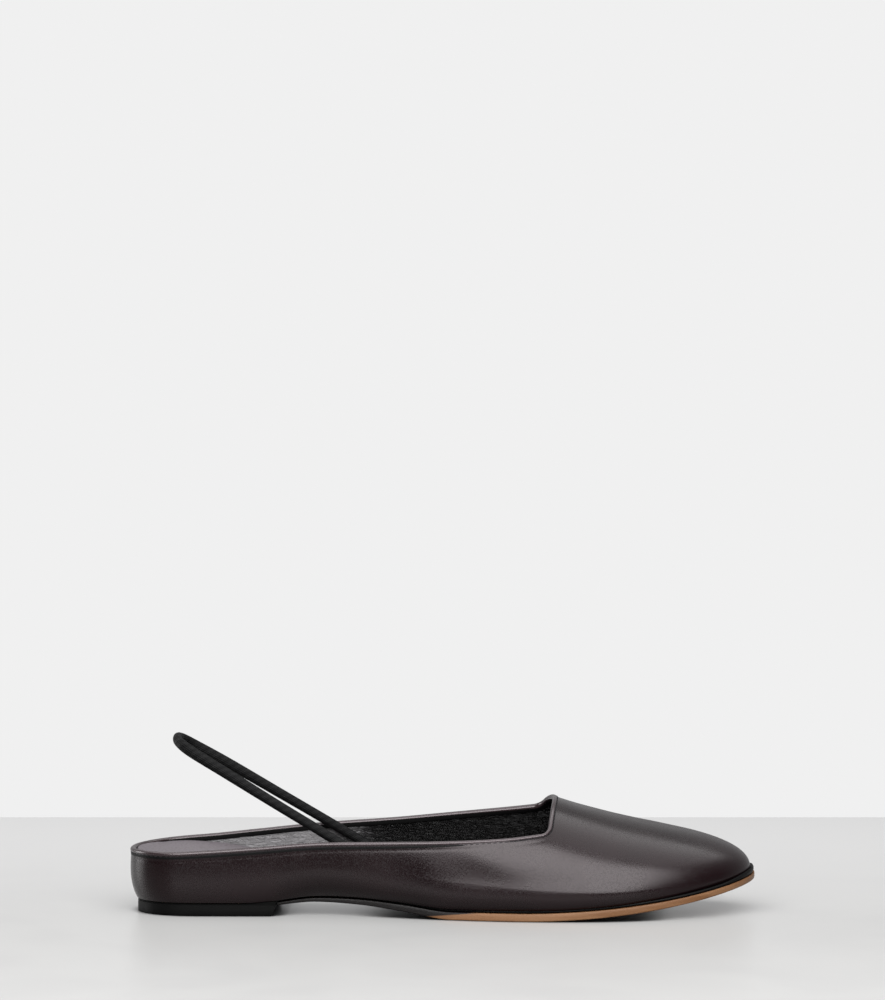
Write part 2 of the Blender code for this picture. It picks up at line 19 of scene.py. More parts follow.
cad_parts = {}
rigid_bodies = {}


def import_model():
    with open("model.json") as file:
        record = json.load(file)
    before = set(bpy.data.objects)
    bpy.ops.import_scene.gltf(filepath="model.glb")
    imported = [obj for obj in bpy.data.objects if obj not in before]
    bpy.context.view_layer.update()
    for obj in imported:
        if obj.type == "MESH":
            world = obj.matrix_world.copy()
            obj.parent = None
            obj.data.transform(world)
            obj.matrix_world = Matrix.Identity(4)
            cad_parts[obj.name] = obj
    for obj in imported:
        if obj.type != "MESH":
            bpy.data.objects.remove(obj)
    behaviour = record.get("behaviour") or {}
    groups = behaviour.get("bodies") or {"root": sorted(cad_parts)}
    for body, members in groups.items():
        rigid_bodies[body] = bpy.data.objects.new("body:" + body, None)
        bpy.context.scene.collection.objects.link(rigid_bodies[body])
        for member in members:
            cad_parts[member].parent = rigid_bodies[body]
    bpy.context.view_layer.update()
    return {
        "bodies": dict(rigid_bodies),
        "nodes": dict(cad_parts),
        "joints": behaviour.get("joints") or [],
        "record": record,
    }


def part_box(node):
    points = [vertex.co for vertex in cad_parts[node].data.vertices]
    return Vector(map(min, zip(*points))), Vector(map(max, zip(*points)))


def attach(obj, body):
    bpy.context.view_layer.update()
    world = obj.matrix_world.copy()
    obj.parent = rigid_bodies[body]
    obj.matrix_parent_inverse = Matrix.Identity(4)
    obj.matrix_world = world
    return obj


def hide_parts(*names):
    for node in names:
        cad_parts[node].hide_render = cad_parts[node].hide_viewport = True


LOG = logging.getLogger("sling_back_flat")
Array = np.ndarray
Place = Callable[[Array], Array]
Point = tuple[float, float, float]
MM = 0.001
MERGE = 0.0005 * MM
SHARP = math.radians(50)
BODY = "root"


class Side(Enum):
    """Outer and inner side of the foot, with the sign of Y."""

    LATERAL = -1.0
    MEDIAL = 1.0


class Zone(Enum):
    """Stretch of the outline that a station lies on."""

    HEEL = "heel"
    SIDE = "side"
    TOE = "toe"


class Gloss(Enum):
    """Roughness of the finishes."""

    SATIN = 0.245
    SOFT = 0.47
    WAXED = 0.40
    MATT = 0.62


class Station(NamedTuple):
    """Place on the outline: an angle in the heel and toe zones, a distance on the side."""

    zone: Zone
    place: float


@dataclass(frozen=True)
class Profile:
    """Smooth curve through the rows of one column."""

    places: Array
    values: Array

    def tangents(self) -> Array:
        """Slopes at the rows, flat where the column turns.

        Returns:
            A slope for each row.
        """
        slopes = np.diff(self.values) / np.diff(self.places)
        before = slopes[:-1]
        after = slopes[1:]
        total = np.where(before + after == 0.0, 1.0, before + after)
        inner = np.where(before * after > 0.0, 2.0 * before * after / total, 0.0)
        return np.concatenate([slopes[:1], inner, slopes[-1:]])

    def at(self, place: Array) -> Array:
        """Value of the column at places along the shoe.

        Args:
            place: shares of the shoe's length.

        Returns:
            The column's values there.
        """
        x = np.clip(np.asarray(place, float), self.places[0], self.places[-1])
        k = np.clip(np.searchsorted(self.places, x) - 1, 0, len(self.places) - 2)
        span = self.places[k + 1] - self.places[k]
        t = (x - self.places[k]) / span
        slope = self.tangents()
        value = self.values[k] * (1.0 + 2.0 * t) * (1.0 - t) ** 2
        value = value + self.values[k + 1] * t * t * (3.0 - 2.0 * t)
        return value + span * t * (1.0 - t) * (slope[k] * (1.0 - t) - slope[k + 1] * t)


def columns(names: str, rows: list[tuple[float, ...]]) -> dict[str, Profile]:
    """Curves of a table's columns.

    Args:
        names: the columns' names, the first being the place along the shoe.
        rows: the table's rows.

    Returns:
        A curve for each column after the first.
    """
    table = np.array(rows)
    return {name: Profile(table[:, 0], table[:, k + 1]) for k, name in enumerate(names.split()[1:])}


# The last: distances from the spine line, the spine's own bend, the height of the widest line
# between feather and ridge, the feather's tuck under it, and the ridge along the top
LAST = columns("along lateral medial spine widest tuck ridge", [
    (0.000, 0.344, 0.344, 0.000, 0.180, 0.034, 1.570),
    (0.112, 0.344, 0.342, 0.000, 0.180, 0.031, 1.570),
    (0.220, 0.350, 0.324, 0.000, 0.182, 0.042, 1.570),
    (0.320, 0.366, 0.298, 0.002, 0.186, 0.074, 1.560),
    (0.420, 0.414, 0.302, 0.007, 0.193, 0.056, 1.450),
    (0.520, 0.482, 0.344, 0.016, 0.198, 0.036, 1.300),
    (0.620, 0.534, 0.396, 0.028, 0.184, 0.025, 1.110),
    (0.688, 0.546, 0.414, 0.038, 0.172, 0.020, 1.000),
    (0.740, 0.546, 0.414, 0.046, 0.160, 0.017, 0.922),
    (0.780, 0.546, 0.414, 0.053, 0.150, 0.015, 0.874),
    (0.820, 0.546, 0.414, 0.060, 0.138, 0.014, 0.843),
    (0.880, 0.546, 0.414, 0.070, 0.110, 0.012, 0.822),
    (1.000, 0.546, 0.414, 0.090, 0.050, 0.008, 0.818),
])

# The collar's rise from its height at the heel toward the throat
COLLAR = columns("along lateral medial", [
    (0.000, 0.000, 0.000),
    (0.060, 0.000, 0.055),
    (0.120, 0.035, 0.110),
    (0.200, 0.105, 0.220),
    (0.310, 0.215, 0.370),
    (0.400, 0.245, 0.450),
    (0.500, 0.285, 0.555),
    (0.600, 0.355, 0.670),
    (0.680, 0.470, 0.800),
])

# The sole: its underside, its thickness, the rand's thickness, and how far the sole's edge lies
# inside the upper's widest line
SOLE = columns("along underside sole rand inset", [
    (0.230, 0.650, 0.400, 0.400, 0.072),
    (0.262, 0.860, 0.450, 0.400, 0.082),
    (0.300, 1.000, 0.520, 0.420, 0.086),
    (0.370, 0.860, 0.680, 0.520, 0.074),
    (0.436, 0.500, 0.860, 0.760, 0.054),
    (0.520, 0.000, 1.000, 1.000, 0.031),
    (0.600, 0.000, 1.000, 1.000, 0.013),
    (0.690, 0.000, 1.000, 1.000, 0.005),
    (0.800, 0.000, 0.950, 1.000, -0.003),
    (0.900, 0.000, 0.860, 1.000, -0.013),
    (1.000, 0.000, 0.780, 1.000, -0.021),
])

# The wedge under the insole, as a share of its height at the seat
WEDGE = columns("along height", [
    (0.000, 1.000),
    (0.080, 0.995),
    (0.130, 0.950),
    (0.180, 0.850),
    (0.230, 0.690),
    (0.290, 0.430),
    (0.360, 0.200),
    (0.420, 0.062),
    (0.480, 0.000),
    (1.000, 0.000),
])

# The lift's edge inside the upper's widest line
LIFT = columns("along inset", [(0.000, 0.038), (0.112, 0.034), (0.240, 0.046)])

# The strap: share of the way back from its ends to its top, share of the climb, and its distance
# from the spine as a share of the room inside the wall or the collar there
STRAP = [
    (0.03, 0.030, 0.990, 0.990),
    (0.10, 0.150, 0.960, 0.970),
    (0.30, 0.345, 0.940, 0.955),
    (0.55, 0.580, 0.870, 0.810),
    (0.78, 0.797, 0.750, 0.640),
    (0.93, 0.932, 0.570, 0.490),
    (0.985, 0.986, 0.330, 0.300),
]


def smooth_step(t: Array) -> Array:
    """A soft rise from nought to one."""
    t = np.clip(t, 0.0, 1.0)
    return t * t * (3.0 - 2.0 * t)


def bump(x: Array, centre: float, width: float) -> Array:
    """A soft hump of height one round a centre."""
    return np.exp(-(((x - centre) / width) ** 2))


@dataclass(frozen=True)
class Last:
    """The form that the shoe is built on, from heel back at nought to the toe, in metres."""

    length: float = 0.250
    ball_width: float = 0.079
    collar_height: float = 0.0244
    throat_height: float = 0.0446
    seat_height: float = 0.0251
    toe_spring: float = 0.0128
    arch_height: float = 0.0055
    gap: float = 0.0003
    wall: float = 0.0018
    sole_thickness: float = 0.0030
    rand_thickness: float = 0.0009
    insole_thickness: float = 0.0025
    lift_thickness: float = 0.0050
    lift_length: float = 0.0600
    lift_blend: float = 0.012
    heel_focus: float = 0.112
    ball_focus: float = 0.688
    corners: dict[Side, float] = field(default_factory=lambda: {Side.LATERAL: 0.672, Side.MEDIAL: 0.659})
    throat_peak: float = 0.681
    tread_end: float = 0.620
    spring_curve: float = 2.05
    heel_square: float = 2.25
    toe_square: dict[Side, float] = field(default_factory=lambda: {Side.LATERAL: 2.25, Side.MEDIAL: 2.6})
    fullness: tuple[float, float, float] = (2.35, 2.35, 2.75)
    roundness: tuple[float, float, float] = (2.0, 2.0, 2.15)
    crown_blend: float = 0.75
    tuck_angle: float = math.radians(55)
    corner_round: float = 0.0032
    probe: float = 0.0003
    toe_guide: float = 2.3
    corner_turn: float = math.radians(14)

    @property
    def heel(self) -> float:
        """Where the heel's round meets the side."""
        return self.heel_focus * self.length

    @property
    def ball(self) -> float:
        """Where the side meets the toe's round."""
        return self.ball_focus * self.length

    def sole_inset(self, x: Array) -> Array:
        """Inset of the sole's edge from the widest line."""
        return SOLE["inset"].at(x / self.length) * self.ball_width

    @property
    def reach(self) -> float:
        """Reach of the upper's widest line at the toe, behind the sole's ledge."""
        return self.length + float(self.sole_inset(np.array(self.length)))

    def spine(self, x: Array) -> Array:
        """The line along the middle of the last, seen from above."""
        return LAST["spine"].at(x / self.length) * self.ball_width

    def half_width(self, side: Side, x: Array) -> Array:
        """Distance from the spine to the widest line."""
        return LAST[side.name.lower()].at(x / self.length) * self.ball_width

    def underside(self, x: Array) -> Array:
        """Height of the sole's underside, with the arch and the toe spring.

        Args:
            x: places along the shoe.

        Returns:
            Heights.
        """
        arch = SOLE["underside"].at(x / self.length) * self.arch_height
        share = np.maximum(0.0, x / self.length - self.tread_end) / (1.0 - self.tread_end)
        return arch + self.toe_spring * share ** self.spring_curve

    def sole_top(self, x: Array) -> Array:
        """Height of the sole's upper face."""
        return self.underside(x) + SOLE["sole"].at(x / self.length) * self.sole_thickness

    def rand_top(self, x: Array) -> Array:
        """Height of the rand's upper face."""
        return self.sole_top(x) + self.gap + SOLE["rand"].at(x / self.length) * self.rand_thickness

    def bed(self, x: Array) -> Array:
        """Height of the feather line, where the upper meets lift, rand and sole.

        Args:
            x: places along the shoe.

        Returns:
            Heights.
        """
        front = self.rand_top(np.maximum(x, self.lift_length)) + self.gap
        back = self.lift_thickness + self.gap
        share = smooth_step((x - self.lift_length + self.lift_blend) / self.lift_blend)
        return back + (front - back) * share

    def ridge(self, x: Array) -> Array:
        """Height of the last along its top."""
        return LAST["ridge"].at(x / self.length) * self.throat_height

    def widest(self, x: Array) -> Array:
        """Height of the widest line."""
        return self.bed(x) + LAST["widest"].at(x / self.length) * (self.ridge(x) - self.bed(x))

    def insole_base(self, x: Array) -> Array:
        """Height of the insole's underside, on the wedge and then on the rand."""
        seat = self.seat_height - self.insole_thickness - self.bed(np.array(0.0))
        return self.bed(x) + WEDGE["height"].at(x / self.length) * seat

    def insole_top(self, x: Array) -> Array:
        """Height of the insole's upper face."""
        return self.insole_base(x) + self.insole_thickness

    @staticmethod
    def power_pair(angle: float, square: float) -> tuple[float, float]:
        """Cosine and sine of a rounded square's corner."""
        power = 2.0 / square
        return max(math.cos(angle), 0.0) ** power, max(math.sin(angle), 0.0) ** power

    def outline(self, side: Side, station: Station, inset: Place) -> Array:
        """Point of the outline seen from above, drawn in by an inset.

        Args:
            side: outer or inner side.
            station: the place on the outline.
            inset: inset as a function of the place along the shoe.

        Returns:
            The point's x and y.
        """
        if station.zone is Zone.HEEL:
            nominal = self.heel * (1.0 - self.power_pair(station.place, self.heel_square)[0])
            cosine, sine = self.power_pair(station.place, self.heel_square)
            x = self.heel - (self.heel - float(inset(np.array(0.0)))) * cosine
            width = float(self.half_width(side, np.array(self.heel)) - inset(np.array(nominal)))
            return np.array([x, float(self.spine(np.array(x))) + side.value * width * sine])
        if station.zone is Zone.TOE:
            guide = self.power_pair(station.place, self.toe_guide)[1]
            nominal = self.ball + (self.reach - self.ball) * guide
            cosine, sine = self.power_pair(station.place, self.toe_square[side])
            x = self.ball + (self.reach - float(inset(np.array(self.length))) - self.ball) * sine
            width = float(self.half_width(side, np.array(self.ball)) - inset(np.array(nominal)))
            return np.array([x, float(self.spine(np.array(x))) + side.value * width * cosine])
        x = np.array(station.place)
        width = self.half_width(side, x) - inset(x)
        return np.array([station.place, float(self.spine(x) + side.value * width)])

    def gauge(self, x: Array, y: Array) -> Array:
        """Nought on the spine and one on the widest line.

        Args:
            x: places along the shoe.
            y: places across it.

        Returns:
            The gauge at each point.
        """
        lateral = y < self.spine(x)
        across = np.abs(y - self.spine(x))
        held = np.clip(x, self.heel, self.ball)
        width = np.where(lateral, self.half_width(Side.LATERAL, held), self.half_width(Side.MEDIAL, held))
        share = across / width
        toe = np.where(lateral, self.toe_square[Side.LATERAL], self.toe_square[Side.MEDIAL])
        power = np.where(x < self.heel, self.heel_square, toe)
        back = np.maximum(self.heel - x, 0.0) / self.heel
        front = np.maximum(x - self.ball, 0.0) / (self.reach - self.ball)
        along = np.where(x < self.heel, back, front)
        return np.where(along > 0.0, (along ** power + share ** power) ** (1.0 / power), share)

    def crown_powers(self, x: Array, lean: Array) -> tuple[Array, Array]:
        """Fullness and roundness of the wall.

        Args:
            x: places along the shoe.
            lean: nought on the outer side and one on the inner side.

        Returns:
            The two powers of the wall's curve.
        """
        front = smooth_step((x - self.heel) / (self.ball - self.heel))
        powers = []
        for heel, lateral, medial in (self.fullness, self.roundness):
            side = lateral + (medial - lateral) * lean
            powers.append(heel + (side - heel) * front)
        return powers[0], powers[1]

    def crown(self, x: Array, y: Array) -> Array:
        """Height of the last's upper surface over points seen from above.

        Args:
            x: places along the shoe.
            y: places across it.

        Returns:
            Heights.
        """
        share = np.minimum(self.gauge(x, y), 1.0)
        lateral = self.half_width(Side.LATERAL, x)
        medial = self.half_width(Side.MEDIAL, x)
        across = (y - self.spine(x)) / np.where(y < self.spine(x), lateral, medial)
        full, rounded = self.crown_powers(x, smooth_step(0.5 + self.crown_blend * across))
        rise = np.maximum(1.0 - share ** full, 0.0) ** (1.0 / rounded)
        return self.widest(x) + (self.ridge(x) - self.widest(x)) * rise

    def crown_share(self, side: Side, x: Array, z: Array) -> Array:
        """Gauge at which the last reaches a height, the other way round from crown.

        Args:
            side: outer or inner side.
            x: places along the shoe.
            z: heights.

        Returns:
            The gauge at each height.
        """
        rise = np.clip((z - self.widest(x)) / (self.ridge(x) - self.widest(x)), 0.0, 0.999)
        full, rounded = self.crown_powers(x, 1.0 if side is Side.MEDIAL else 0.0)
        return (1.0 - rise ** rounded) ** (1.0 / full)

    def tuck_inset(self, x: Array, angle: float) -> Array:
        """Inset of the wall below the widest line, at an angle of its curve."""
        tuck = LAST["tuck"].at(x / self.length) * self.ball_width
        return tuck * (1.0 - math.cos(angle)) / (1.0 - math.cos(self.tuck_angle))

    def tuck_height(self, x: Array, angle: float) -> Array:
        """Height of the wall below the widest line, at an angle of its curve."""
        drop = (self.widest(x) - self.bed(x)) * math.sin(angle) / math.sin(self.tuck_angle)
        return self.widest(x) - drop

    def outer_inset(self, side: Side, x: Array, z: Array) -> Array:
        """Inset of the upper's outer face from the widest line at a height.

        Args:
            side: outer or inner side.
            x: places along the shoe.
            z: heights.

        Returns:
            Insets.
        """
        depth = (self.widest(x) - z) / (self.widest(x) - self.bed(x)) * math.sin(self.tuck_angle)
        angle = np.arcsin(np.clip(depth, 0.0, 1.0))
        tuck = LAST["tuck"].at(x / self.length) * self.ball_width
        low = tuck * (1.0 - np.cos(angle)) / (1.0 - math.cos(self.tuck_angle))
        high = (1.0 - self.crown_share(side, x, z)) * self.half_width(side, x)
        return np.where(z < self.widest(x), low, high)

    def inner_inset(self, side: Side, x: Array, z: Array, clearance: float) -> Array:
        """Inset of a line that keeps clear of the upper's inner face at a height.

        Args:
            side: outer or inner side.
            x: places along the shoe.
            z: heights.
            clearance: room left between line and face.

        Returns:
            Insets.
        """
        low = np.maximum(z, self.bed(x))
        inset = self.outer_inset(side, x, low)
        slope = (self.outer_inset(side, x, low + self.probe) - inset) / self.probe
        return inset + (self.wall + clearance) * np.sqrt(1.0 + slope * slope)

    def collar(self, side: Side, x: Array) -> Array:
        """Height of the collar line on one side."""
        rise = COLLAR[side.name.lower()].at(x / self.length)
        return self.collar_height + rise * (self.throat_height - self.collar_height)

    def collar_point(self, side: Side, station: Station) -> Array:
        """Collar point above a station of the heel or the side.

        Args:
            side: outer or inner side.
            station: the place on the outline.

        Returns:
            The point.
        """
        plan = self.outline(side, station, lambda x: x * 0.0)
        x = np.array(plan[0])
        z = self.collar(side, x)
        share = self.crown_share(side, x, z)
        focus_x = max(plan[0], self.heel) if station.zone is Zone.HEEL else plan[0]
        focus = np.array([focus_x, float(self.spine(np.array(focus_x)))])
        point = focus + (plan - focus) * share
        return np.array([point[0], point[1], float(z)])

    def throat_corner(self, side: Side) -> Array:
        """Plan point where side collar and throat line would cross."""
        place = self.corners[side] * self.length
        return self.collar_point(side, Station(Zone.SIDE, place))[:2]

    def throat_point(self, side: Side, share: float) -> Array:
        """Plan point of the throat line, from its peak to the corner of one side.

        Args:
            side: outer or inner side.
            share: nought at the peak and one at the corner.

        Returns:
            The point's x and y.
        """
        x = self.throat_peak * self.length
        peak = np.array([x, float(self.spine(np.array(x)))])
        corner = self.throat_corner(side)
        return peak + (corner - peak) * np.array([share * share, share])

    def lifted(self, plan: Array) -> Array:
        """Plan points lifted to the last's surface."""
        z = self.crown(plan[..., 0], plan[..., 1])
        return np.concatenate([plan, z[..., None]], axis=-1)


@dataclass(frozen=True)
class Fineness:
    """How many steps the fine meshes take, and how far a rib's rows crowd toward its ends."""

    heel: int = 22
    side: int = 62
    corner: int = 10
    vamp: int = 40
    wall: int = 50
    tuck: int = 9
    samples: int = 96
    across: int = 28
    crowding: float = 0.06


@dataclass
class Grid:
    """Rings of points on the last, feather first, closed round the shoe, with outward normals."""

    points: Array
    normals: Array
    heads: Array
    tangents: Array


class LastGrid:
    """Draws the last's ribs from the feather line up to the collar."""

    def __init__(self, last: Last, fine: Fineness) -> None:
        """Keep the last and the steps."""
        self.last = last
        self.fine = fine

    def side_pairs(self, side: Side) -> list[tuple[Side, Station, Array]]:
        """Station and collar point of each rib of one side.

        Args:
            side: outer or inner side.

        Returns:
            Rows of side, station and collar point, from heel centre to toe tip.
        """
        last = self.last
        fine = self.fine
        corner = last.throat_corner(side)
        stop = corner[0] - last.corner_round
        width = abs(corner[1] - last.throat_point(side, 0.0)[1])
        start = 1.0 - last.corner_round / width
        turn = last.corner_turn
        pairs = []
        for i in range(fine.heel):
            station = Station(Zone.HEEL, math.pi / 2.0 * i / fine.heel)
            pairs.append((side, station, last.collar_point(side, station)))
        for i in range(fine.side):
            share = i / fine.side
            point = last.collar_point(side, Station(Zone.SIDE, last.heel + (stop - last.heel) * share))
            pairs.append((side, Station(Zone.SIDE, last.heel + (last.ball - last.heel) * share), point))
        before = last.collar_point(side, Station(Zone.SIDE, stop))[:2]
        after = last.throat_point(side, start)
        for i in range(fine.corner):
            t = i / fine.corner
            point = before * (1.0 - t) ** 2 + corner * 2.0 * t * (1.0 - t) + after * t * t
            pairs.append((side, Station(Zone.TOE, turn * t), last.lifted(point)))
        for i in range(fine.vamp + 1):
            t = i / fine.vamp
            place = turn + (math.pi / 2.0 - turn) * t
            point = last.throat_point(side, start * (1.0 - t))
            pairs.append((side, Station(Zone.TOE, place), last.lifted(point)))
        return pairs

    def rib(self, side: Side, station: Station, head: Array) -> Array:
        """Points of one rib from feather to collar, closer together at both ends.

        Args:
            side: outer or inner side.
            station: the rib's place on the outline.
            head: its point on the collar.

        Returns:
            The rib's points.
        """
        last = self.last
        low = []
        for i in range(self.fine.tuck):
            angle = last.tuck_angle * (1.0 - i / self.fine.tuck)
            plan = last.outline(side, station, lambda x, angle=angle: last.tuck_inset(x, angle))
            low.append([*plan, float(last.tuck_height(np.array(plan[0]), angle))])
        foot = last.outline(side, station, lambda x: x * 0.0)
        full = math.acos(min(max(float(last.gauge(head[0], head[1])), 0.0), 0.9995))
        turn = np.linspace(0.0, full, self.fine.samples)
        share = (1.0 - np.cos(turn)) / (1.0 - math.cos(full))
        chain = last.lifted(foot + (head[:2] - foot) * share[:, None])
        chain[0, 2] = float(last.widest(np.array(foot[0])))
        steps = np.linalg.norm(np.diff(chain, axis=0), axis=1)
        walked = np.concatenate([[0.0], np.cumsum(steps)])
        t = np.linspace(0.0, 1.0, self.fine.wall + 1)
        rows = walked[-1] * (t - self.fine.crowding * np.sin(2.0 * math.pi * t))
        high = np.stack([np.interp(rows, walked, chain[:, k]) for k in range(3)], axis=1)
        return np.concatenate([np.array(low), high])

    def build(self) -> Grid:
        """The whole grid.

        Returns:
            Points as ribs by rows, their normals, and the collar line with its tangents.
        """
        pairs = self.side_pairs(Side.LATERAL)
        pairs += self.side_pairs(Side.MEDIAL)[1:-1][::-1]
        heads = np.array([head for _, _, head in pairs])
        points = np.array([self.rib(*pair) for pair in pairs])
        tangents = unit(np.roll(heads, -1, axis=0) - np.roll(heads, 1, axis=0))
        return Grid(points, grid_normals(points), heads, tangents)


def unit(vectors: Array) -> Array:
    """Vectors of length one."""
    size = np.linalg.norm(vectors, axis=-1, keepdims=True)
    return vectors / np.maximum(size, 1e-12)


def grid_normals(points: Array) -> Array:
    """Outward normals of a grid that closes round the shoe.

    Args:
        points: ribs by rows.

    Returns:
        A normal for each point.
    """
    along = np.roll(points, -1, axis=0) - np.roll(points, 1, axis=0)
    up = np.empty_like(points)
    up[:, 1:-1] = points[:, 2:] - points[:, :-2]
    up[:, 0] = points[:, 1] - points[:, 0]
    up[:, -1] = points[:, -1] - points[:, -2]
    return unit(np.cross(along, up))


@dataclass
class Workshop:
    """Turns point grids into objects in the shared frame."""

    shift: Vector

    def piece(self, name: str, bm: bmesh.types.BMesh, material: bpy.types.Material) -> bpy.types.Object:
        """Object of a finished mesh.

        Args:
            name: the piece's name.
            bm: its mesh in the last's own frame, freed here.
            material: its finish.

        Returns:
            The object, at the origin, with its place in its mesh.
        """
        bmesh.ops.remove_doubles(bm, verts=bm.verts, dist=MERGE)
        bmesh.ops.recalc_face_normals(bm, faces=bm.faces)
        bmesh.ops.translate(bm, verts=bm.verts, vec=self.shift)
        mesh = bpy.data.meshes.new(name)
        bm.to_mesh(mesh)
        bm.free()
        mesh.shade_smooth()
        mesh.set_sharp_from_angle(angle=SHARP)
        mesh.materials.append(material)
        piece = bpy.data.objects.new(name, mesh)
        bpy.context.scene.collection.objects.link(piece)
        return piece

    @staticmethod
    def band(bm: bmesh.types.BMesh, loops: list[list[bmesh.types.BMVert]], closed: bool) -> None:
        """Faces between neighbouring loops of vertices.

        Args:
            bm: the mesh.
            loops: loops of equal length.
            closed: whether each loop closes on itself.
        """
        for a, b in zip(loops, loops[1:]):
            count = len(a)
            for i in range(count if closed else count - 1):
                k = (i + 1) % count
                bm.faces.new((a[i], a[k], b[k], b[i]))

    @staticmethod
    def loops(bm: bmesh.types.BMesh, points: Array) -> list[list[bmesh.types.BMVert]]:
        """Vertices of a grid, a loop for each of its rows."""
        return [[bm.verts.new(point) for point in row] for row in points]

    def ring(self, name: str, points: Array, material: bpy.types.Material) -> bpy.types.Object:
        """A closed solid from loops round the shoe that close on each other too.

        Args:
            name: the piece's name.
            points: the loops' points.
            material: its finish.

        Returns:
            The piece.
        """
        bm = bmesh.new()
        loops = self.loops(bm, points)
        self.band(bm, loops + [loops[0]], closed=True)
        return self.piece(name, bm, material)


@dataclass(frozen=True)
class Crease:
    """A soft trough or ridge across the upper, placed in the shoe's own sizes."""

    side: Side
    start: tuple[float, float]
    end: tuple[float, float]
    width: float
    depth: float

    def relief(self, points: Array, last: Last) -> Array:
        """Depth of the crease at points of the upper.

        Args:
            points: surface points in the last's frame.
            last: the last.

        Returns:
            Distance along the normal, below nought for a trough.
        """
        flat = np.stack([points[..., 0] / last.length, points[..., 2] / last.throat_height], axis=-1)
        a = np.array(self.start)
        b = np.array(self.end)
        scale = np.array([last.length, last.throat_height])
        t = np.clip((((flat - a) * scale) @ ((b - a) * scale)) / (((b - a) * scale) ** 2).sum(), 0.0, 1.0)
        near = a + (b - a) * t[..., None]
        gone = np.linalg.norm((flat - near) * scale, axis=-1)
        fade = np.sin(math.pi * np.clip(t, 0.02, 0.98)) ** 0.7
        here = (points[..., 1] - last.spine(points[..., 0])) * self.side.value > 0.0
        return self.depth * fade * np.exp(-((gone / self.width) ** 2)) * here


class NodeTree:
    """Short calls for building a node tree."""

    def __init__(self, tree: bpy.types.NodeTree) -> None:
        """Keep the tree."""
        self.tree = tree

    def add(self, kind: str, **settings: object) -> bpy.types.Node:
        """A node with its properties set.

        Args:
            kind: the node's type.
            settings: its properties.

        Returns:
            The node.
        """
        node = self.tree.nodes.new(kind)
        for name, value in settings.items():
            setattr(node, name, value)
        return node

    def join(self, source: bpy.types.NodeSocket, target: bpy.types.NodeSocket) -> None:
        """A link between two sockets."""
        self.tree.links.new(source, target)

    def feed(self, node: bpy.types.Node, **values: object) -> bpy.types.Node:
        """Set or link inputs by name, with underscores for spaces.

        Args:
            node: the node.
            values: numbers, colours or sockets by the inputs' names.

        Returns:
            The node.
        """
        for name, value in values.items():
            socket = node.inputs[name.replace("_", " ")]
            if isinstance(value, bpy.types.NodeSocket):
                self.join(value, socket)
            else:
                socket.default_value = value
        return node

    def math(self, kind: str, a: object, b: object = 0.0) -> bpy.types.NodeSocket:
        """Result of a math node.

        Args:
            kind: the operation.
            a: first number or socket.
            b: second number or socket.

        Returns:
            The result's socket.
        """
        node = self.add("ShaderNodeMath", operation=kind)
        for socket, value in zip(node.inputs, (a, b)):
            if isinstance(value, bpy.types.NodeSocket):
                self.join(value, socket)
            else:
                socket.default_value = value
        return node.outputs[0]

    def ramp(
        self, value: object, low: float, high: float, start: float = 0.0, end: float = 1.0
    ) -> bpy.types.NodeSocket:
        """Value mapped smoothly from one range to another.

        Args:
            value: the number or socket.
            low: where the rise begins.
            high: where it ends.
            start: result at the low end.
            end: result at the high end.

        Returns:
            The result's socket.
        """
        node = self.add("ShaderNodeMapRange", interpolation_type="SMOOTHSTEP")
        self.feed(node, Value=value, From_Min=low, From_Max=high, To_Min=start, To_Max=end)
        return node.outputs["Result"]

    def mix(self, share: object, a: object, b: object) -> bpy.types.NodeSocket:
        """Two colours mixed.

        Args:
            share: share of the second colour.
            a: first colour or socket.
            b: second colour or socket.

        Returns:
            The mixed colour's socket.
        """
        node = self.add("ShaderNodeMix", data_type="RGBA")
        for index, value in ((0, share), (6, a), (7, b)):
            if isinstance(value, bpy.types.NodeSocket):
                self.join(value, node.inputs[index])
            else:
                node.inputs[index].default_value = value
        return node.outputs[2]


def new_group(
    name: str, inputs: dict[str, float], outputs: tuple[str, ...]
) -> tuple[NodeTree, bpy.types.Node, bpy.types.Node]:
    """An empty shader node group.

    Args:
        name: the group's name.
        inputs: names and first values of its number inputs; Vector is added to them.
        outputs: names of its number outputs.

    Returns:
        The tree, its input node and its output node.
    """
    group = bpy.data.node_groups.new(name, "ShaderNodeTree")
    group.interface.new_socket("Vector", in_out="INPUT", socket_type="NodeSocketVector")
    for label, value in inputs.items():
        socket = group.interface.new_socket(label, in_out="INPUT", socket_type="NodeSocketFloat")
        socket.default_value = value
    for label in outputs:
        group.interface.new_socket(label, in_out="OUTPUT", socket_type="NodeSocketFloat")
    tree = NodeTree(group)
    return tree, tree.add("NodeGroupInput"), tree.add("NodeGroupOutput")


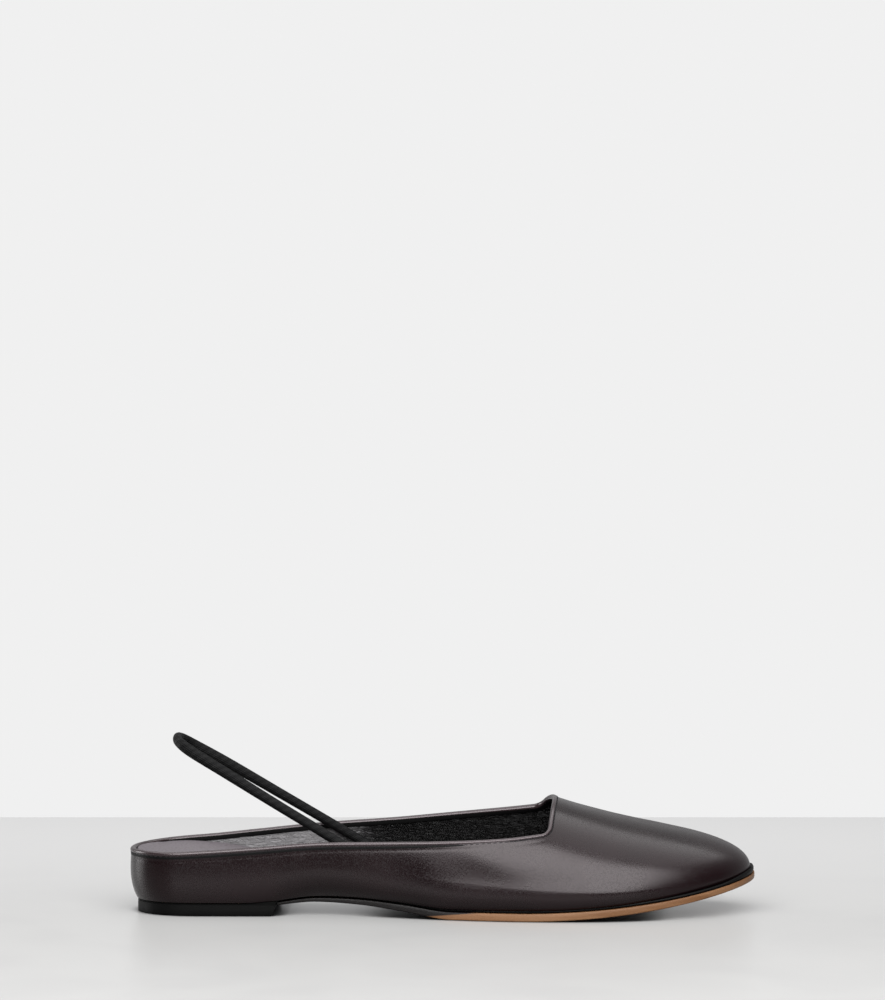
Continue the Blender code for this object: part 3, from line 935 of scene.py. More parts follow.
def grain_group() -> bpy.types.ShaderNodeTree:
    """Fine pebbled grain of calf leather.

    Returns:
        The group, with a height, a mask of the grain's valleys and a slow cloud.
    """
    inputs = {"Pebble Scale": 1500.0, "Cloud Scale": 28.0}
    tree, feed, out = new_group("leather_grain", inputs, ("Height", "Valley", "Cloud"))
    pebble = tree.add("ShaderNodeTexVoronoi", feature="SMOOTH_F1")
    tree.feed(pebble, Vector=feed.outputs["Vector"], Scale=feed.outputs["Pebble Scale"], Smoothness=0.6)
    fine = tree.add("ShaderNodeTexNoise")
    pores = tree.math("MULTIPLY", feed.outputs["Pebble Scale"], 2.2)
    tree.feed(fine, Vector=feed.outputs["Vector"], Scale=pores, Detail=2.0)
    cloud = tree.add("ShaderNodeTexNoise")
    tree.feed(cloud, Vector=feed.outputs["Vector"], Scale=feed.outputs["Cloud Scale"], Detail=3.0)
    raised = tree.math("SUBTRACT", 1.0, pebble.outputs["Distance"])
    coarse = tree.math("MULTIPLY", raised, 0.6)
    height = tree.math("ADD", coarse, tree.math("MULTIPLY", fine.outputs["Fac"], 0.4))
    tree.join(height, out.inputs["Height"])
    tree.join(tree.ramp(pebble.outputs["Distance"], 0.35, 0.75), out.inputs["Valley"])
    tree.join(cloud.outputs["Fac"], out.inputs["Cloud"])
    return tree.tree


def crinkle_group() -> bpy.types.ShaderNodeTree:
    """Short crinkles of thin lining leather that is bent round the last.

    Returns:
        The group, with a height.
    """
    inputs = {"Scale": 720.0, "Twist": 0.8}
    tree, feed, out = new_group("lining_crinkle", inputs, ("Height",))
    turned = tree.add("ShaderNodeMapping")
    turned.inputs["Rotation"].default_value = (0.0, math.radians(-38), 0.0)
    turned.inputs["Scale"].default_value = (0.40, 0.8, 1.5)
    tree.feed(turned, Vector=feed.outputs["Vector"])
    warp = tree.add("ShaderNodeTexNoise")
    tree.feed(warp, Vector=turned.outputs["Vector"], Detail=4.0, Roughness=0.6)
    tree.feed(warp, Scale=feed.outputs["Scale"], Distortion=feed.outputs["Twist"])
    crest = tree.math("ABSOLUTE", tree.math("SUBTRACT", warp.outputs["Fac"], 0.5))
    ridged = tree.math("SUBTRACT", 1.0, tree.math("MULTIPLY", crest, 5.0))
    ridged = tree.math("MAXIMUM", ridged, 0.0)
    tree.join(ridged, out.inputs["Height"])
    return tree.tree


def weave_group() -> bpy.types.ShaderNodeTree:
    """Ribs and fine crossing threads of covered elastic, on a map of length and turn.

    Returns:
        The group, with a height and a mask of the threads.
    """
    inputs = {"Ribs": 9.0, "Threads": 1900.0}
    tree, feed, out = new_group("elastic_weave", inputs, ("Height", "Thread"))
    parts = tree.add("ShaderNodeSeparateXYZ")
    tree.join(feed.outputs["Vector"], parts.inputs[0])
    turn = tree.math("MULTIPLY", parts.outputs["Y"], 2.0 * math.pi)
    ribs = tree.math("ABSOLUTE", tree.math("SINE", tree.math("MULTIPLY", turn, feed.outputs["Ribs"])))
    along = tree.math("MULTIPLY", parts.outputs["X"], feed.outputs["Threads"])
    slant = tree.math("ADD", along, tree.math("MULTIPLY", turn, 3.0))
    threads = tree.math("MULTIPLY", tree.math("ADD", tree.math("SINE", slant), 1.0), 0.5)
    height = tree.math("ADD", tree.math("MULTIPLY", ribs, 0.9), tree.math("MULTIPLY", threads, 0.1))
    tree.join(height, out.inputs["Height"])
    tree.join(threads, out.inputs["Thread"])
    return tree.tree


def layer_group() -> bpy.types.ShaderNodeTree:
    """Thin pressed layers and waxed streaks of a leather edge.

    Returns:
        The group, with a height and a streak mask.
    """
    inputs = {"Layers": 5200.0, "Streaks": 320.0}
    tree, feed, out = new_group("edge_layers", inputs, ("Height", "Streak"))
    stretched = tree.add("ShaderNodeMapping")
    stretched.inputs["Scale"].default_value = (0.10, 0.10, 1.0)
    tree.feed(stretched, Vector=feed.outputs["Vector"])
    lines = tree.add("ShaderNodeTexNoise")
    tree.feed(lines, Vector=stretched.outputs["Vector"], Scale=feed.outputs["Layers"], Detail=2.0)
    streak = tree.add("ShaderNodeTexNoise")
    tree.feed(streak, Vector=stretched.outputs["Vector"], Scale=feed.outputs["Streaks"], Detail=3.0)
    tree.join(lines.outputs["Fac"], out.inputs["Height"])
    tree.join(streak.outputs["Fac"], out.inputs["Streak"])
    return tree.tree


Colour = tuple[float, float, float]
WHITE = (1.0, 1.0, 1.0)


def rgba(colour: Colour) -> tuple[float, float, float, float]:
    """A colour with full cover."""
    return (*colour, 1.0)


@dataclass
class Finishes:
    """Node groups shared by the finishes, built once."""

    grain: bpy.types.ShaderNodeTree = field(default_factory=grain_group)
    crinkle: bpy.types.ShaderNodeTree = field(default_factory=crinkle_group)
    weave: bpy.types.ShaderNodeTree = field(default_factory=weave_group)
    layers: bpy.types.ShaderNodeTree = field(default_factory=layer_group)

    @staticmethod
    def blank(name: str) -> tuple[NodeTree, bpy.types.Node, bpy.types.NodeSocket, bpy.types.Material]:
        """A material with its shader and the object's coordinates.

        Args:
            name: the material's name.

        Returns:
            The tree, the shader, the coordinates and the material.
        """
        material = bpy.data.materials.new(name)
        material.use_nodes = True
        tree = NodeTree(material.node_tree)
        shader = material.node_tree.nodes["Principled BSDF"]
        place = tree.add("ShaderNodeTexCoord")
        return tree, shader, place.outputs["Object"], material

    @staticmethod
    def placed(
        tree: NodeTree, group: bpy.types.ShaderNodeTree, place: bpy.types.NodeSocket, **values: object
    ) -> bpy.types.Node:
        """A group put into a material with its own values.

        Args:
            tree: the material's tree.
            group: the node group.
            place: the coordinates.
            values: the group's inputs.

        Returns:
            The group's node.
        """
        node = tree.add("ShaderNodeGroup", node_tree=group)
        return tree.feed(node, Vector=place, **values)

    @staticmethod
    def relief(tree: NodeTree, shader: bpy.types.Node, height: bpy.types.NodeSocket, distance: float) -> None:
        """A fine relief on the shader's normal.

        Args:
            tree: the material's tree.
            shader: the shader.
            height: the relief's height.
            distance: how high it stands, in metres.
        """
        node = tree.add("ShaderNodeBump")
        tree.feed(node, Height=height, Distance=distance, Strength=1.0)
        tree.join(node.outputs["Normal"], shader.inputs["Normal"])


@dataclass(frozen=True)
class CalfLeather:
    """Smooth dark calf with a fine grain and a satin dressing."""

    name: str
    colour: Colour
    lifted: Colour
    gloss: Gloss = Gloss.SATIN
    pebble: float = 1500.0
    depth: float = 0.026 * MM
    shine: float = 0.205
    tint: Colour = (1.0, 0.93, 0.95)

    def make(self, finishes: Finishes) -> bpy.types.Material:
        """The material.

        Args:
            finishes: the shared node groups.

        Returns:
            The material.
        """
        tree, shader, place, material = finishes.blank(self.name)
        grain = finishes.placed(tree, finishes.grain, place, Pebble_Scale=self.pebble)
        cloud = grain.outputs["Cloud"]
        toned = tree.mix(tree.ramp(cloud, 0.35, 0.70), rgba(self.colour), rgba(self.lifted))
        deep = tuple(0.6 * c for c in self.colour)
        colour = tree.mix(tree.math("MULTIPLY", grain.outputs["Valley"], 0.5), toned, rgba(deep))
        rough = tree.ramp(cloud, 0.30, 0.75, self.gloss.value - 0.04, self.gloss.value + 0.05)
        rough = tree.math("ADD", rough, tree.math("MULTIPLY", grain.outputs["Valley"], 0.08))
        tree.feed(shader, Base_Color=colour, Roughness=rough)
        shader.inputs["Specular IOR Level"].default_value = self.shine
        shader.inputs["Specular Tint"].default_value = rgba(self.tint)
        finishes.relief(tree, shader, grain.outputs["Height"], self.depth)
        return material


@dataclass(frozen=True)
class LiningLeather:
    """Thin lining, black and crinkled toward the toe, with a painted grey sheen round the heel."""

    name: str
    painted_sheen_colour: Colour
    toe_colour: Colour
    sheen_fade_start: float
    sheen_fade_end: float
    shine: float = 0.12
    crinkle_height: float = 0.55 * MM

    def make(self, finishes: Finishes) -> bpy.types.Material:
        """The material.

        Args:
            finishes: the shared node groups.

        Returns:
            The material.
        """
        tree, shader, place, material = finishes.blank(self.name)
        crinkle = finishes.placed(tree, finishes.crinkle, place)
        grain = finishes.placed(tree, finishes.grain, place, Pebble_Scale=1300.0)
        parts = tree.add("ShaderNodeSeparateXYZ")
        tree.join(place, parts.inputs[0])
        wander = tree.math("MULTIPLY", tree.math("SUBTRACT", crinkle.outputs["Height"], 0.5), 0.012)
        along = tree.math("ADD", parts.outputs["X"], wander)
        # Painted sheen: grey round the heel, fading to the lining's own black toward the toe
        front = tree.ramp(along, self.sheen_fade_start, self.sheen_fade_end)
        base = tree.mix(front, rgba(self.painted_sheen_colour), rgba(self.toe_colour))
        tree.feed(shader, Base_Color=base, Roughness=tree.ramp(front, 0.0, 1.0, 0.50, 0.24))
        shader.inputs["Specular IOR Level"].default_value = self.shine
        pores = tree.math("MULTIPLY", grain.outputs["Height"], 0.2)
        height = tree.math("ADD", crinkle.outputs["Height"], pores)
        finishes.relief(tree, shader, height, self.crinkle_height)
        return material


@dataclass(frozen=True)
class SoleLeather:
    """Tan sole leather with a waxed edge, dark through the waist."""

    name: str
    tan: Colour
    pale: Colour
    dark_edge: Colour
    dark_end: float
    dark_fade: float
    dark_lean: float
    edge_height: float = 0.0034
    shine: float = 0.14
    layer_height: float = 0.04 * MM

    def make(self, finishes: Finishes) -> bpy.types.Material:
        """The material.

        Args:
            finishes: the shared node groups.

        Returns:
            The material.
        """
        tree, shader, place, material = finishes.blank(self.name)
        edge = finishes.placed(tree, finishes.layers, place)
        grain = finishes.placed(tree, finishes.grain, place, Pebble_Scale=900.0)
        parts = tree.add("ShaderNodeSeparateXYZ")
        tree.join(place, parts.inputs[0])
        toned = tree.mix(tree.ramp(edge.outputs["Streak"], 0.35, 0.68), rgba(self.tan), rgba(self.pale))
        dark = tuple(0.55 * c for c in self.tan)
        toned = tree.mix(tree.ramp(edge.outputs["Height"], 0.60, 0.80, 0.0, 0.45), toned, rgba(dark))
        # Dark through the waist, reaching further forward higher up the edge
        wander = tree.math("MULTIPLY", grain.outputs["Cloud"], self.dark_fade * 0.4)
        along = tree.math("ADD", parts.outputs["X"], wander)
        height = tree.math("MINIMUM", parts.outputs["Z"], self.edge_height)
        along = tree.math("SUBTRACT", along, tree.math("MULTIPLY", height, self.dark_lean))
        bare = tree.ramp(along, self.dark_end, self.dark_end + self.dark_fade)
        tree.feed(shader, Base_Color=tree.mix(bare, rgba(self.dark_edge), toned))
        tree.feed(shader, Roughness=tree.ramp(edge.outputs["Streak"], 0.3, 0.7, 0.40, 0.54))
        shader.inputs["Specular IOR Level"].default_value = self.shine
        finishes.relief(tree, shader, edge.outputs["Height"], self.layer_height)
        return material


@dataclass(frozen=True)
class PlainEdge:
    """Black rubber, painted edge or core: one colour with a little dust and grain."""

    name: str
    colour: Colour
    dust: Colour
    gloss: Gloss
    pebble: float = 1100.0
    depth: float = 0.03 * MM
    shine: float = 0.05

    def make(self, finishes: Finishes) -> bpy.types.Material:
        """The material.

        Args:
            finishes: the shared node groups.

        Returns:
            The material.
        """
        tree, shader, place, material = finishes.blank(self.name)
        grain = finishes.placed(tree, finishes.grain, place, Pebble_Scale=self.pebble)
        cloud = grain.outputs["Cloud"]
        dusty = tree.ramp(cloud, 0.45, 0.80, 0.0, 0.6)
        rough = tree.ramp(cloud, 0.3, 0.7, self.gloss.value, self.gloss.value + 0.1)
        tree.feed(shader, Base_Color=tree.mix(dusty, rgba(self.colour), rgba(self.dust)), Roughness=rough)
        shader.inputs["Specular IOR Level"].default_value = self.shine
        finishes.relief(tree, shader, grain.outputs["Height"], self.depth)
        return material


@dataclass(frozen=True)
class ElasticCover:
    """Black woven cover of the sling's elastic, on a map along and round the cord."""

    name: str
    colour: Colour
    thread: Colour
    shine: float = 0.06
    rib_height: float = 0.12 * MM

    def make(self, finishes: Finishes) -> bpy.types.Material:
        """The material.

        Args:
            finishes: the shared node groups.

        Returns:
            The material.
        """
        tree, shader, _, material = finishes.blank(self.name)
        own = tree.add("ShaderNodeUVMap", uv_map="cord")
        weave = finishes.placed(tree, finishes.weave, own.outputs["UV"])
        colour = tree.mix(weave.outputs["Thread"], rgba(self.colour), rgba(self.thread))
        tree.feed(shader, Base_Color=colour)
        tree.feed(shader, Roughness=tree.ramp(weave.outputs["Thread"], 0.0, 1.0, 0.60, 0.50))
        shader.inputs["Specular IOR Level"].default_value = self.shine
        finishes.relief(tree, shader, weave.outputs["Height"], self.rib_height)
        return material


@dataclass
class Upper:
    """The upper's outer leather: a closed wall from the feather line to the binding."""

    last: Last
    grid: Grid
    leather_share: float = 0.55
    trim: float = 1.0 * MM
    groove_depth: float = 0.05 * MM
    groove_place: float = 2.75 * MM
    groove_width: float = 0.75 * MM
    vamp_drop: float = 0.5 * MM
    vamp_blend: float = 14.0 * MM
    belly: float = 1.25 * MM
    belly_height: float = 8.5 * MM
    belly_spread: float = 6.0 * MM
    belly_run: tuple[float, float, float, float] = (0.28, 0.42, 0.74, 0.90)
    crinkle: float = 0.10 * MM
    crinkle_left: float = 0.25
    crinkle_run: tuple[float, float] = (0.30, 0.45)
    creases: tuple[Crease, ...] = (
        Crease(Side.LATERAL, (0.46, 0.62), (0.60, 0.36), 6.0 * MM, -0.25 * MM),
        Crease(Side.LATERAL, (0.52, 0.66), (0.66, 0.42), 7.0 * MM, 0.18 * MM),
        Crease(Side.LATERAL, (0.60, 0.60), (0.72, 0.34), 8.0 * MM, -0.16 * MM),
        Crease(Side.MEDIAL, (0.46, 0.66), (0.60, 0.36), 6.0 * MM, -0.22 * MM),
        Crease(Side.MEDIAL, (0.58, 0.66), (0.70, 0.40), 8.0 * MM, -0.16 * MM),
    )

    def below_head(self) -> Array:
        """Distance of each grid point from the collar line, down its rib.

        Returns:
            Distances as ribs by rows.
        """
        steps = np.linalg.norm(np.diff(self.grid.points, axis=1), axis=2)
        total = np.cumsum(steps[:, ::-1], axis=1)[:, ::-1]
        return np.concatenate([total, np.zeros((len(steps), 1))], axis=1)

    def relief(self) -> Array:
        """Creases, full flanks, a lower vamp and the trough under the binding, as distances outward.

        Returns:
            Distances as ribs by rows.
        """
        depth = -self.groove_depth * bump(self.below_head(), self.groove_place, self.groove_width)
        for crease in self.creases:
            depth = depth + crease.relief(self.grid.points, self.last)
        start, full, late, stop = self.belly_run
        along = self.grid.points[..., 0] / self.last.length
        run = smooth_step((along - start) / (full - start)) * smooth_step((stop - along) / (stop - late))
        low = bump(self.grid.points[..., 2], self.belly_height, self.belly_spread)
        depth = depth + self.belly * run * low * (1.0 - np.abs(self.grid.normals[..., 2]))
        behind = self.last.throat_corner(Side.MEDIAL)[0]
        over = smooth_step((self.grid.points[..., 0] - behind) / self.vamp_blend)
        return depth - self.vamp_drop * over * np.clip(self.grid.normals[..., 2], 0.0, 1.0)

    def surface(self) -> Array:
        """The outer surface with its relief."""
        return self.grid.points + self.grid.normals * self.relief()[..., None]

    def trimmed(self, surface: Array) -> Array:
        """A surface whose top row stops under the binding.

        Args:
            surface: points as ribs by rows.

        Returns:
            The surface with its top row lowered.
        """
        cut = surface.copy()
        step = cut[:, -1] - cut[:, -2]
        size = np.linalg.norm(step, axis=1, keepdims=True)
        cut[:, -1] = cut[:, -1] - step / size * np.minimum(self.trim, 0.8 * size)
        return cut

    def build(self, shop: Workshop, material: bpy.types.Material) -> bpy.types.Object:
        """The outer leather.

        Args:
            shop: turns grids into objects.
            material: the leather.

        Returns:
            The piece.
        """
        outer = self.trimmed(self.surface())
        inner = outer - self.grid.normals * self.last.wall * self.leather_share
        points = np.concatenate([outer.transpose(1, 0, 2), inner.transpose(1, 0, 2)[::-1]])
        return shop.ring("upper_leather", points, material)

    def build_lining(self, shop: Workshop, material: bpy.types.Material) -> bpy.types.Object:
        """The lining inside the leather, with its crinkles raised on the foot's side.

        Args:
            shop: turns grids into objects.
            material: the lining's leather.

        Returns:
            The piece.
        """
        wall = self.last.wall
        points = self.grid.points
        normals = self.grid.normals
        x = points[..., 0]
        z = points[..., 2]
        # Two slanting waves, in radians per metre, the first bent by a third along the shoe
        wave = np.sin(620.0 * x + 900.0 * z + 3.0 * np.sin(160.0 * x))
        wave = wave * np.sin(210.0 * z - 340.0 * x)
        start, full = self.crinkle_run
        front = smooth_step((x / self.last.length - start) / (full - start))
        crinkle = self.crinkle * wave * (self.crinkle_left + (1.0 - self.crinkle_left) * front)
        inner = self.trimmed(points - normals * (wall + crinkle)[..., None])
        outer = self.trimmed(points - normals * (wall * (self.leather_share + 0.02)))
        rows = np.concatenate([outer.transpose(1, 0, 2), inner.transpose(1, 0, 2)[::-1]])
        return shop.ring("lining", rows, material)


# The binding's section from its outer edge over the roll to its inner edge: distance outward from
# the wall's middle and height above the collar line, in millimetres
BINDING_SECTION = [
    (0.66, -1.10),
    (0.70, -0.80),
    (0.86, -0.62),
    (1.14, -0.42),
    (1.23, -0.08),
    (1.20, 0.24),
    (1.04, 0.56),
    (0.76, 0.80),
    (0.38, 0.94),
    (0.00, 0.98),
    (-0.38, 0.93),
    (-0.76, 0.78),
    (-1.02, 0.54),
    (-1.17, 0.20),
    (-1.19, -0.16),
    (-1.14, -0.50),
    (-1.10, -0.80),
    (-1.08, -1.20),
    (-1.00, -1.46),
    (-0.66, -1.52),
]


# The black stitched channel under the roll, partly painted shadow under it, in the same way
CHANNEL_SECTION = [
    (0.60, -0.56),
    (0.84, -0.62),
    (0.92, -0.76),
    (0.94, -1.10),
    (0.93, -1.50),
    (0.90, -1.84),
    (0.64, -1.92),
]


# The black strip that faces the binding on the foot's side, in the same way
FACING_SECTION = [
    (-0.92, -1.62),
    (-1.16, -1.62),
    (-1.25, -1.45),
    (-1.26, -0.90),
    (-1.24, -0.30),
    (-1.21, 0.10),
    (-1.02, 0.12),
    (-0.92, -0.40),
]


@dataclass
class Binding:
    """The strip folded over the edge: a roll, a sewn channel outside and a facing inside; the channel's black
    is partly painted shadow.
    """

    last: Last
    grid: Grid
    channel_top: float = 0.56
    channel_run: tuple[float, float] = (0.36, 0.62)
    channel_left: float = 0.40
    seam: tuple[float, float] = (0.92 * MM, -0.86 * MM)
    leather_normals: Array = field(init=False)
    up: Array = field(init=False)

    def __post_init__(self) -> None:
        """Work out the frames along the collar line."""
        normals = self.grid.normals[:, -2]
        tangents = self.grid.tangents
        along = (normals * tangents).sum(axis=1, keepdims=True)
        self.leather_normals = unit(normals - tangents * along)
        up = np.cross(self.leather_normals, tangents)
        climb = self.grid.heads - self.grid.points[:, -6]
        flip = np.sign((up * climb).sum(axis=1, keepdims=True))
        self.up = up * flip

    def line(self, outward: float, height: float | Array) -> Array:
        """A line along the collar at a place of the section.

        Args:
            outward: distance from the wall's middle.
            height: height above the collar line, one for all or one for each point.

        Returns:
            The line's points.
        """
        middle = self.grid.heads - self.leather_normals * self.last.wall / 2.0
        return middle + self.leather_normals * outward + self.up * height

    def build(self, shop: Workshop, material: bpy.types.Material) -> bpy.types.Object:
        """The binding.

        Args:
            shop: turns grids into objects.
            material: the leather.

        Returns:
            The piece.
        """
        points = np.array([self.line(u * MM, v * MM) for u, v in BINDING_SECTION])
        return shop.ring("collar_binding_roll", points, material)

    def build_channel(self, shop: Workshop, material: bpy.types.Material) -> bpy.types.Object:
        """The black channel that takes the seam, partly painted shadow under the roll, tall at the waist and
        thin toward the throat.

        Args:
            shop: turns grids into objects.
            material: its leather.

        Returns:
            The piece.
        """
        start, stop = self.channel_run
        share = self.grid.heads[:, :1] / self.last.length
        tall = 1.0 - (1.0 - self.channel_left) * smooth_step((share - start) / (stop - start))
        points = []
        for outward, height in CHANNEL_SECTION:
            lowered = -self.channel_top + (height + self.channel_top) * tall
            points.append(self.line(outward * MM, lowered * MM))
        return shop.ring("binding_channel", np.array(points), material)

    def build_facing(self, shop: Workshop, material: bpy.types.Material) -> bpy.types.Object:
        """The strip on the foot's side of the binding.

        Args:
            shop: turns grids into objects.
            material: its leather.

        Returns:
            The piece.
        """
        points = np.array([self.line(u * MM, v * MM) for u, v in FACING_SECTION])
        return shop.ring("binding_facing", points, material)


@dataclass
class StitchRow:
    """A row of sewn thread along a line, made by Geometry Nodes and realized."""

    name: str
    pitch: float = 2.3 * MM
    stitch: float = 1.75 * MM
    thread: float = 0.17 * MM

    def tree(self, material: bpy.types.Material) -> tuple[bpy.types.GeometryNodeTree, dict[str, str]]:
        """The node tree.

        Args:
            material: the thread.

        Returns:
            The tree and its inputs' identifiers by name.
        """
        group = bpy.data.node_groups.new(self.name + "_nodes", "GeometryNodeTree")
        group.interface.new_socket("Geometry", in_out="INPUT", socket_type="NodeSocketGeometry")
        ids = {}
        for label in ("Pitch", "Stitch Length", "Thread Radius"):
            socket = group.interface.new_socket(label, in_out="INPUT", socket_type="NodeSocketFloat")
            ids[label] = socket.identifier
        group.interface.new_socket("Geometry", in_out="OUTPUT", socket_type="NodeSocketGeometry")
        tree = NodeTree(group)
        feed = tree.add("NodeGroupInput")
        out = tree.add("NodeGroupOutput")
        curve = tree.add("GeometryNodeMeshToCurve")
        tree.join(feed.outputs["Geometry"], curve.inputs["Mesh"])
        even = tree.add("GeometryNodeResampleCurve", mode="LENGTH")
        tree.feed(even, Curve=curve.outputs["Curve"], Length=feed.outputs["Pitch"])
        bead = tree.add("GeometryNodeMeshUVSphere")
        tree.feed(bead, Segments=8, Rings=6, Radius=1.0)
        size = tree.add("ShaderNodeCombineXYZ")
        half = tree.math("MULTIPLY", feed.outputs["Stitch Length"], 0.5)
        tree.feed(size, X=half, Y=feed.outputs["Thread Radius"], Z=feed.outputs["Thread Radius"])
        shaped = tree.add("GeometryNodeTransform")
        tree.feed(shaped, Geometry=bead.outputs["Mesh"], Scale=size.outputs[0])
        turned = tree.add("FunctionNodeAlignRotationToVector", axis="X")
        tree.join(tree.add("GeometryNodeInputTangent").outputs["Tangent"], turned.inputs["Vector"])
        sown = tree.add("GeometryNodeInstanceOnPoints")
        tree.feed(sown, Points=even.outputs["Curve"], Instance=shaped.outputs["Geometry"])
        tree.join(turned.outputs["Rotation"], sown.inputs["Rotation"])
        real = tree.add("GeometryNodeRealizeInstances")
        tree.join(sown.outputs["Instances"], real.inputs["Geometry"])
        dressed = tree.add("GeometryNodeSetMaterial")
        dressed.inputs["Material"].default_value = material
        tree.join(real.outputs["Geometry"], dressed.inputs["Geometry"])
        tree.join(dressed.outputs["Geometry"], out.inputs["Geometry"])
        return group, ids

    def build(self, shop: Workshop, line: Array, material: bpy.types.Material) -> bpy.types.Object:
        """The row of stitches.

        Args:
            shop: places the line in the shared frame.
            line: points of the line, which closes round the shoe.
            material: the thread.

        Returns:
            The piece, a plain mesh.
        """
        points = [Vector(point) + shop.shift for point in line]
        edges = [(i, (i + 1) % len(points)) for i in range(len(points))]
        guide_mesh = bpy.data.meshes.new(self.name + "_guide")
        guide_mesh.from_pydata(points, edges, [])
        guide = bpy.data.objects.new(self.name + "_guide", guide_mesh)
        bpy.context.scene.collection.objects.link(guide)
        sewing = guide.modifiers.new("stitches", "NODES")
        sewing.node_group, ids = self.tree(material)
        sewing[ids["Pitch"]] = self.pitch
        sewing[ids["Stitch Length"]] = self.stitch
        sewing[ids["Thread Radius"]] = self.thread
        graph = bpy.context.evaluated_depsgraph_get()
        mesh = bpy.data.meshes.new_from_object(guide.evaluated_get(graph))
        bpy.data.objects.remove(guide, do_unlink=True)
        mesh.name = self.name
        mesh.shade_smooth()
        piece = bpy.data.objects.new(self.name, mesh)
        bpy.context.scene.collection.objects.link(piece)
        return piece


@dataclass
class Sheet:
    """One level of a slab: how far its edge lies inside the widest line, and its height."""

    inset: Callable[[Side], Place]
    height: Place


Level = tuple[list[Station], Sheet]


@dataclass
class Slab:
    """A solid between two sheets across the shoe, walled through further levels at its edge."""

    last: Last
    fine: Fineness

    def stations(self, start: float, stop: float, steps: int = 0) -> list[Station]:
        """Stations along the shoe, round the heel and the toe where they reach.

        Args:
            start: where they begin.
            stop: where they end.
            steps: how many lie along the sides, or zero to space them evenly.

        Returns:
            The stations, from the heel to the toe.
        """
        last = self.last
        found = []
        if start <= 0.0:
            count = self.fine.heel
            found += [Station(Zone.HEEL, math.pi / 2.0 * i / count) for i in range(count)]
            start = last.heel
        side_stop = min(stop, last.ball)
        steps = steps or round(self.fine.side * (side_stop - start) / (last.ball - last.heel))
        places = np.linspace(start, side_stop, steps + 1)
        found += [Station(Zone.SIDE, float(place)) for place in places]
        if stop > last.ball:
            count = self.fine.vamp
            found += [Station(Zone.TOE, math.pi / 2.0 * i / count) for i in range(1, count + 1)]
        return found

    def rows(self, stations: list[Station], sheet: Sheet) -> Array:
        """Points of a sheet, a row across for each station, closer together at the edges.

        Args:
            stations: where the rows lie.
            sheet: the sheet.

        Returns:
            Points as stations by rows.
        """
        turn = np.linspace(0.0, math.pi, self.fine.across + 1)
        share = (0.5 - 0.5 * np.cos(turn))[:, None]
        rows = []
        for station in stations:
            ends = [self.last.outline(side, station, sheet.inset(side)) for side in Side]
            plan = ends[0] + (ends[1] - ends[0]) * share
            z = np.broadcast_to(sheet.height(plan[:, 0]), plan[:, 0].shape)
            rows.append(np.concatenate([plan, z[:, None]], axis=1))
        return np.array(rows)

    def rim(self, rows: Array) -> Array:
        """The edge of a sheet as a closed loop.

        Args:
            rows: the sheet's points.

        Returns:
            The loop's points.
        """
        back = rows[0][::-1]
        lateral = rows[1:-1, 0]
        front = rows[-1]
        medial = rows[1:-1, -1][::-1]
        return np.concatenate([back, lateral, front, medial])

    def build(
        self, shop: Workshop, name: str, levels: list[Level], material: bpy.types.Material
    ) -> bpy.types.Object:
        """The slab.

        Args:
            shop: turns grids into objects.
            name: the piece's name.
            levels: stations and sheet of each level, from the bottom up.
            material: its finish.

        Returns:
            The piece.
        """
        bm = bmesh.new()
        sheets = [self.rows(stations, sheet) for stations, sheet in levels]
        for rows in (sheets[0], sheets[-1]):
            shop.band(bm, shop.loops(bm, rows), closed=False)
        shop.band(bm, shop.loops(bm, np.array([self.rim(rows) for rows in sheets])), closed=True)
        return shop.piece(name, bm, material)


@dataclass
class Sock:
    """The insole board with its sock leather, its upper edge rounded and a fold across the heel."""

    last: Last
    slab: Slab
    clearance: float = 0.62 * MM
    edge_round: float = 0.7 * MM
    fold_depth: float = 0.22 * MM
    fold_place: float = 11.5 * MM
    fold_width: float = 1.6 * MM

    def top(self, x: Array) -> Array:
        """Height of the sock, with the fold across the heel."""
        return self.last.insole_top(x) - self.fold_depth * bump(x, self.fold_place, self.fold_width)

    def build(self, shop: Workshop, material: bpy.types.Material) -> bpy.types.Object:
        """The sock.

        Args:
            shop: turns grids into objects.
            material: the sock leather.

        Returns:
            The piece.
        """
        last = self.last
        stations = self.slab.stations(0.0, last.length)

        def level(drop: float, drawn: float) -> Level:
            """A level below the sock's top, drawn in from its edge.

            Args:
                drop: how far it lies below the top.
                drawn: how far it is drawn in.

            Returns:
                The level's stations and sheet.
            """
            def height(x: Array) -> Array:
                """Height of the level."""
                return self.top(x) - drop

            def inset(side: Side) -> Place:
                """Inset of the level's edge on one side."""
                return lambda x: last.inner_inset(side, x, height(x), self.clearance) + drawn

            return stations, Sheet(inset, height)

        def base(side: Side) -> Place:
            """Inset of the underside's edge on one side."""
            return lambda x: last.inner_inset(side, x, last.insole_base(x), self.clearance)

        levels = [(stations, Sheet(base, last.insole_base))]
        for turn in np.linspace(0.0, math.pi / 2.0, 6):
            drop = self.edge_round * (1.0 - math.sin(turn))
            levels.append(level(drop, self.edge_round * (1.0 - math.cos(turn))))
        return self.slab.build(shop, "sock", levels, material)


